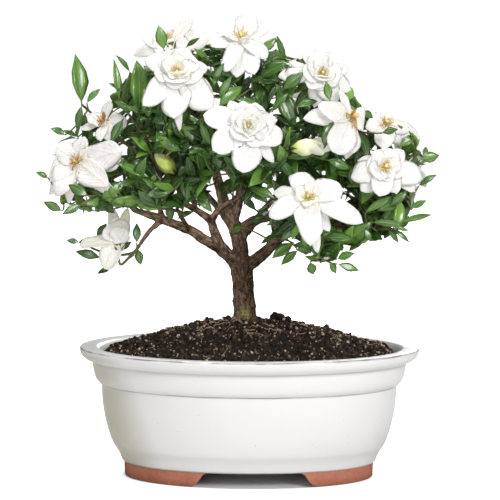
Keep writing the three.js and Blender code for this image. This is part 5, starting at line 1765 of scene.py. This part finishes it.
class Spray:
    """The shoots that grow from the end of one limb, with their leaves.

    A leaf is (foot, direction, face, length, width share, tone).
    """

    def __init__(self, name, index):
        self.name, self.index = name, index
        self.draws = draws_for("spray", index)
        self.bm = new_shape()
        self.leaves, self.spots = [], []

    def stem(self, points, size, tone):
        """A shoot that thins towards its tip."""
        radius, tip_radius, sides = size
        last = len(points) - 1
        rings = [(*p, mix(radius, tip_radius, i / last)) for i, p in enumerate(points)]
        mark(self.bm, tube(self.bm, rings, sides, 2), tone=tone)

    def whorl(self, curve, at, count, size, lean=LEAF_LEAN, share=0.8):
        """Leaves round a shoot, where they fit."""
        start, along, draws = bezier(curve, at), tangent(curve, at), self.draws
        first = draws() * FULL_TURN
        made = []
        for i in range(count):
            angle = draws.about(first + i * FULL_TURN / count, TURN_SPREAD)
            tilt = math.radians(draws.about(mix(*lean, share), LEAN_SPREAD))
            length = size * (0.72 + 0.42 * draws())
            tone = mix(0.02, 0.92, draws() ** 1.3)
            width = mix(0.9, 1.12, draws())
            for turn in TURNS:
                leaf = (*seated(start, along, angle + turn, tilt), length, width, tone)
                if fits(leaf):
                    made.append(leaf)
                    break
        return made

    def side_shoot(self, start, heading, sizes):
        """A short shoot with a pair of leaves on the way and a whorl at its tip."""
        least, most, size = sizes
        direction, length = heading.normalized(), mix(least, most, self.draws())
        bend = (direction + UP * 0.5).normalized()
        points = [start, start + direction * length * 0.5,
                  start + direction * length * 0.6 + bend * length * 0.4]
        tip = points[-1]
        if not in_crown(tip) or inside_bloom(tip) or hides_bloom(tip):
            return
        grown = self.whorl(points, 0.55, 2, size, share=0.3)
        grown += self.whorl(points, 1, 3, size, SIDE_LEAN)
        if grown:
            self.leaves += grown
            self.stem([bezier(points, share) for share in (0, 0.33, 0.66, 1)], SIDE_STEM,
                      0.3 + 0.5 * self.draws())

    def main_shoot(self, j, shoot, start, along):
        """One of the shoots that the part's solids have, with side shoots."""
        draws = self.draws
        leafy = shoot[0] not in ("bloom", "bud")
        if leafy:
            end = turn = Vector(shoot[:3])
        else:
            foot, axis = stalk_end(*shoot)
            end = foot - axis * STALK_GAP
            turn = end - axis * BLOOM_STALK
        reach = turn - start
        curve = [start, start + reach * 0.35 + along * 0.12 * reach.length]
        if not leafy:
            curve.append(turn - axis * 0.35 * (start - turn).length)
        curve.append(turn)
        points = on_curve(curve, 8)
        if (end - points[-1]).length > 0.01:
            points.append(end)
        self.stem(points, MAIN_STEM, 0.25 + 0.5 * draws())
        self.spots += points
        if leafy:
            whorls, count, size = shoot[3:6]
            random = draws_for("cad_leaves", self.index, j)
            self.leaves += cad_leaves(curve, (whorls, count, size), random, draws)
            for share in PAIR_SHARES:
                self.leaves += self.whorl(curve, share, 2, size * 0.85, share=share)
            self.leaves += self.whorl(curve, 1, 3, size * 0.8, TIP_LEAN)
        else:
            for share, count in STALK_WHORLS:
                self.leaves += self.whorl(curve, share, count, STALK_LEAF, share=share)
        for share in SIDE_SHARES:
            place, heading = bezier(curve, share), tangent(curve, share)
            ray = ray_round(heading, draws() * FULL_TURN)
            outward = (place - CROWN_MIDDLE).normalized()
            self.side_shoot(place, ray + heading * 0.6 + outward * 0.4, SIDE_SHOOT)
        if len(shoot) > 6:
            reach = Vector(shoot[6:9]) - end
            self.leaves.append((end, reach.normalized(), Vector((0.3, -1, 0.2)), reach.length,
                                shoot[9], TIP_TONE))

    def limb_shoots(self, line):
        """Short shoots along the thin part of the limb."""
        draws = self.draws
        for i, ring in enumerate(line):
            if i < len(line) * LIMB_BARE or ring[3] > LIMB_BEARING or i % 2:
                continue
            place = Vector(ring[:3])
            outward = (place - CROWN_MIDDLE + Vector((0, 0, 20))).normalized()
            ray = Vector((draws() - 0.5, draws() - 0.5, draws() - 0.35)).normalized()
            self.side_shoot(place, ray + outward * 0.7, LIMB_SHOOT)
            self.spots.append(place)

    def front_leaf(self, x0, y0, x1, y1, deep, width, tone):
        """A leaf where the view shows it, on a shoot from the nearest one."""
        draws = self.draws
        foot, far = place_of(x0, y0, deep), place_of(x1, y1, deep + draws.about(-2, 6))
        reach = far - foot
        nearest = min(self.spots, key=lambda spot: (spot - foot).length)
        sway = foot.lerp(nearest, 0.5) - reach.normalized() * 2 - UP
        self.stem(on_curve([nearest, sway, foot], 4), LEAF_STEM, 0.35)
        face = Vector((draws.about(0, 0.7), -1, draws.about(0.55, 0.6)))
        share = width * SHOWN_MM / (reach.length * sizes().leaf_width)
        self.leaves.append((foot, reach.normalized(), face, reach.length, share, tone))

    def shape(self, templates):
        rings = LIMBS[self.name]
        tip, before, radius = Vector(rings[-1][:3]), Vector(rings[-2][:3]), rings[-1][3]
        along = (tip - before).normalized()
        shoots = SPRAYS[self.name]
        self.stem([tip - along * 2, tip + along * (2 + SHOOT_SPACING * (len(shoots) - 1))],
                  (radius * 0.95, 0.7, 10), 0.8)
        for j, shoot in enumerate(shoots):
            self.main_shoot(j, shoot, tip + along * (SHOOT_START + SHOOT_SPACING * j), along)
        self.limb_shoots(smooth_line(rings, 4))
        for row in FRONT_LEAVES.get(self.name, []):
            self.front_leaf(*row)
        blades = new_shape()
        for start, direction, face, length, width, tone in self.leaves:
            template = templates[int(self.draws() * len(templates))]
            stamp(blades, template, basis(start - direction.normalized() * 0.3, direction, face,
                                          (length, length * width, length)), tone)
        return joined(blades, self.bm)


# Stage: the lights as place, size, power and tint, in metres

LIGHTS = {
    "key_light": ((0.95, -1.9, 1.15), 0.8, 35.5, (1.0, 0.99, 0.98)),
    "fill_light": ((-0.3, -2.3, 0.5), 0.9, 10.0, (1.0, 0.97, 0.92)),
    "top_light": ((-0.35, -0.1, 1.7), 0.7, 17.5, (1.0, 1.0, 1.0)),
    "back_light": ((0.5, 2.0, 0.8), 0.9, 14.0, (1.0, 1.0, 1.0)),
}
LIGHT_AIM = Vector((POT_MIDDLE.x, POT_MIDDLE.y, 0.14))
AMBIENT = 0.24
FLOOR_GLOW = 0.9
# Where the pot's shadow ends on the floor, in shares of the feet's oval
FLOOR_SHADOW = (0.95, 1.04)
FLOOR_REACH = 60.0
FLOOR_DROP = 0.0003


def add_light(name, place, size, power, tint):
    data = bpy.data.lights.new(name, "AREA")
    data.shape = "DISK"
    data.size = size
    data.energy = power
    data.color = tint
    light = new_object(name, data)
    light.location = place
    light.rotation_euler = (Vector(place) - LIGHT_AIM).to_track_quat("Z", "Y").to_euler()


def light_world():
    """White behind the object, and a weaker even light from all round."""
    world = bpy.data.worlds.new("studio")
    world.use_nodes = True
    made = Nodes(world.node_tree)
    made.tree.nodes.clear()
    seen = made.add("ShaderNodeLightPath").outputs["Is Camera Ray"]
    around, white = (
        made.add("ShaderNodeBackground", {"Color": (1, 1, 1, 1), "Strength": strength}).outputs[0]
        for strength in (AMBIENT, 1.0))
    both = made.add("ShaderNodeMixShader", {0: seen, 1: around, 2: white}).outputs[0]
    made.add("ShaderNodeOutputWorld", {"Surface": both})
    bpy.context.scene.world = world


# Operators


class GardeniaPot(bpy.types.Operator):
    """Make the glazed pot, its clay feet and the finish of the drain screens"""

    bl_idname = "gardenia.pot"
    bl_label = "Pot"

    def execute(self, context):
        new_piece("pot_body", pot_shape(), ["glaze"], "pot_glaze", "pot")
        new_piece("pot_feet", feet_shape(), ["clay"], "pot_glaze", "pot")
        for name in ("drain_screen_left", "drain_screen_right"):
            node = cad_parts[name]
            node.data.materials.clear()
            node.data.materials.append(finished("screen"))
        return {"FINISHED"}


class GardeniaSoil(bpy.types.Operator):
    """Make the mound of soil with its crumbs and rootlets"""

    bl_idname = "gardenia.soil"
    bl_label = "Soil"

    def execute(self, context):
        new_piece("soil_mound", soil_shape(), ["soil"], "soil", "soil")
        new_piece("soil_crumbs", crumbs_shape(sizes().crumbs), ["soil"], "soil")
        new_piece("soil_rootlets", rootlets_shape(), ["rootlet"], "soil")
        return {"FINISHED"}


class GardeniaTree(bpy.types.Operator):
    """Make the trunk and the limbs"""

    bl_idname = "gardenia.tree"
    bl_label = "Trunk and limbs"

    def execute(self, context):
        new_piece("tree_wood", tree_shape(), ["bark"], "bark", "tree")
        return {"FINISHED"}


class GardeniaBlooms(bpy.types.Operator):
    """Make the blooms with their hearts"""

    bl_idname = "gardenia.blooms"
    bl_label = "Blooms"

    def execute(self, context):
        for index, (name, bloom) in enumerate(FLOWERS.items()):
            new_piece(f"petals_{name}", bloom_shape(bloom, index), ["petal", "shoot"], "petal",
                      f"bloom_{name}")
            new_piece(f"anthers_{name}", heart_shape(bloom, index), ["club", "anther"],
                      "bloom_heart", f"heart_{name}")
        return {"FINISHED"}


class GardeniaBuds(bpy.types.Operator):
    """Make the buds"""

    bl_idname = "gardenia.buds"
    bl_label = "Buds"

    def execute(self, context):
        for name, row in BUDS.items():
            new_piece(f"furled_{name}", bud_shape(*row, opening=name == OPENING_BUD),
                      ["bud", "shoot", "petal", "anther"], "bud", f"bud_{name}")
        return {"FINISHED"}


class GardeniaLeaves(bpy.types.Operator):
    """Make the leafy shoots"""

    bl_idname = "gardenia.leaves"
    bl_label = "Leaves"

    def execute(self, context):
        templates = leaf_templates()
        for index, name in enumerate(SPRAYS):
            new_piece(f"leaves_{name}", Spray(name, index).shape(templates),
                      ["leaf", "leaf_back", "shoot"], "leaf", f"spray_{name}")
        for template in templates:
            bpy.data.meshes.remove(template)
        return {"FINISHED"}


class GardeniaStage(bpy.types.Operator):
    """Make the floor, the lights and the camera"""

    bl_idname = "gardenia.stage"
    bl_label = "Stage"

    def execute(self, context):
        scene = context.scene
        bm = bmesh.new()
        bmesh.ops.create_circle(bm, cap_ends=True, segments=64, radius=FLOOR_REACH)
        bmesh.ops.translate(bm, vec=(0, 0, -FLOOR_DROP), verts=bm.verts)
        mesh = mesh_from(bm, "studio_floor")
        mesh.materials.append(finished("floor"))
        new_object("studio_floor", mesh)
        light_world()
        for name, row in LIGHTS.items():
            add_light(name, *row)
        data = bpy.data.cameras.new("camera")
        data.lens = VIEW["lens"]
        data.sensor_width = VIEW["sensor"]
        data.clip_start, data.clip_end = 0.05, 200
        camera = new_object("camera", data)
        turned = Matrix((RIGHTWARD, UPWARD, -AHEAD)).transposed().to_4x4()
        camera.matrix_world = Matrix.Translation(PLACE @ EYE) @ turned
        scene.camera = camera
        scene.view_settings.view_transform = "Standard"
        return {"FINISHED"}


STEPS = (GardeniaPot, GardeniaSoil, GardeniaTree, GardeniaBlooms, GardeniaBuds, GardeniaLeaves,
         GardeniaStage)


class GardeniaPanel(bpy.types.Panel):
    """Lists the steps that make the potted gardenia"""

    bl_idname = "VIEW3D_PT_gardenia"
    bl_label = "Potted gardenia"
    bl_space_type = "VIEW_3D"
    bl_region_type = "UI"
    bl_category = "Gardenia"

    def draw(self, context):
        layout = self.layout
        for group in (sizes(), colours()):
            for key in group.__annotations__:
                layout.prop(group, key)
        for step in STEPS:
            layout.operator(step.bl_idname)


CLASSES = (GardeniaSizes, GardeniaColours, *STEPS, GardeniaPanel)


def register():
    for kind in CLASSES:
        bpy.utils.register_class(kind)
    bpy.types.Scene.gardenia_sizes = bpy.props.PointerProperty(type=GardeniaSizes)
    bpy.types.Scene.gardenia_colours = bpy.props.PointerProperty(type=GardeniaColours)


def unregister():
    del bpy.types.Scene.gardenia_colours
    del bpy.types.Scene.gardenia_sizes
    for kind in reversed(CLASSES):
        bpy.utils.unregister_class(kind)


def main():
    register()
    for step in ("pot", "soil", "tree", "blooms", "buds", "leaves", "stage"):
        getattr(bpy.ops.gardenia, step)()


if __name__ == "__main__":
    main()
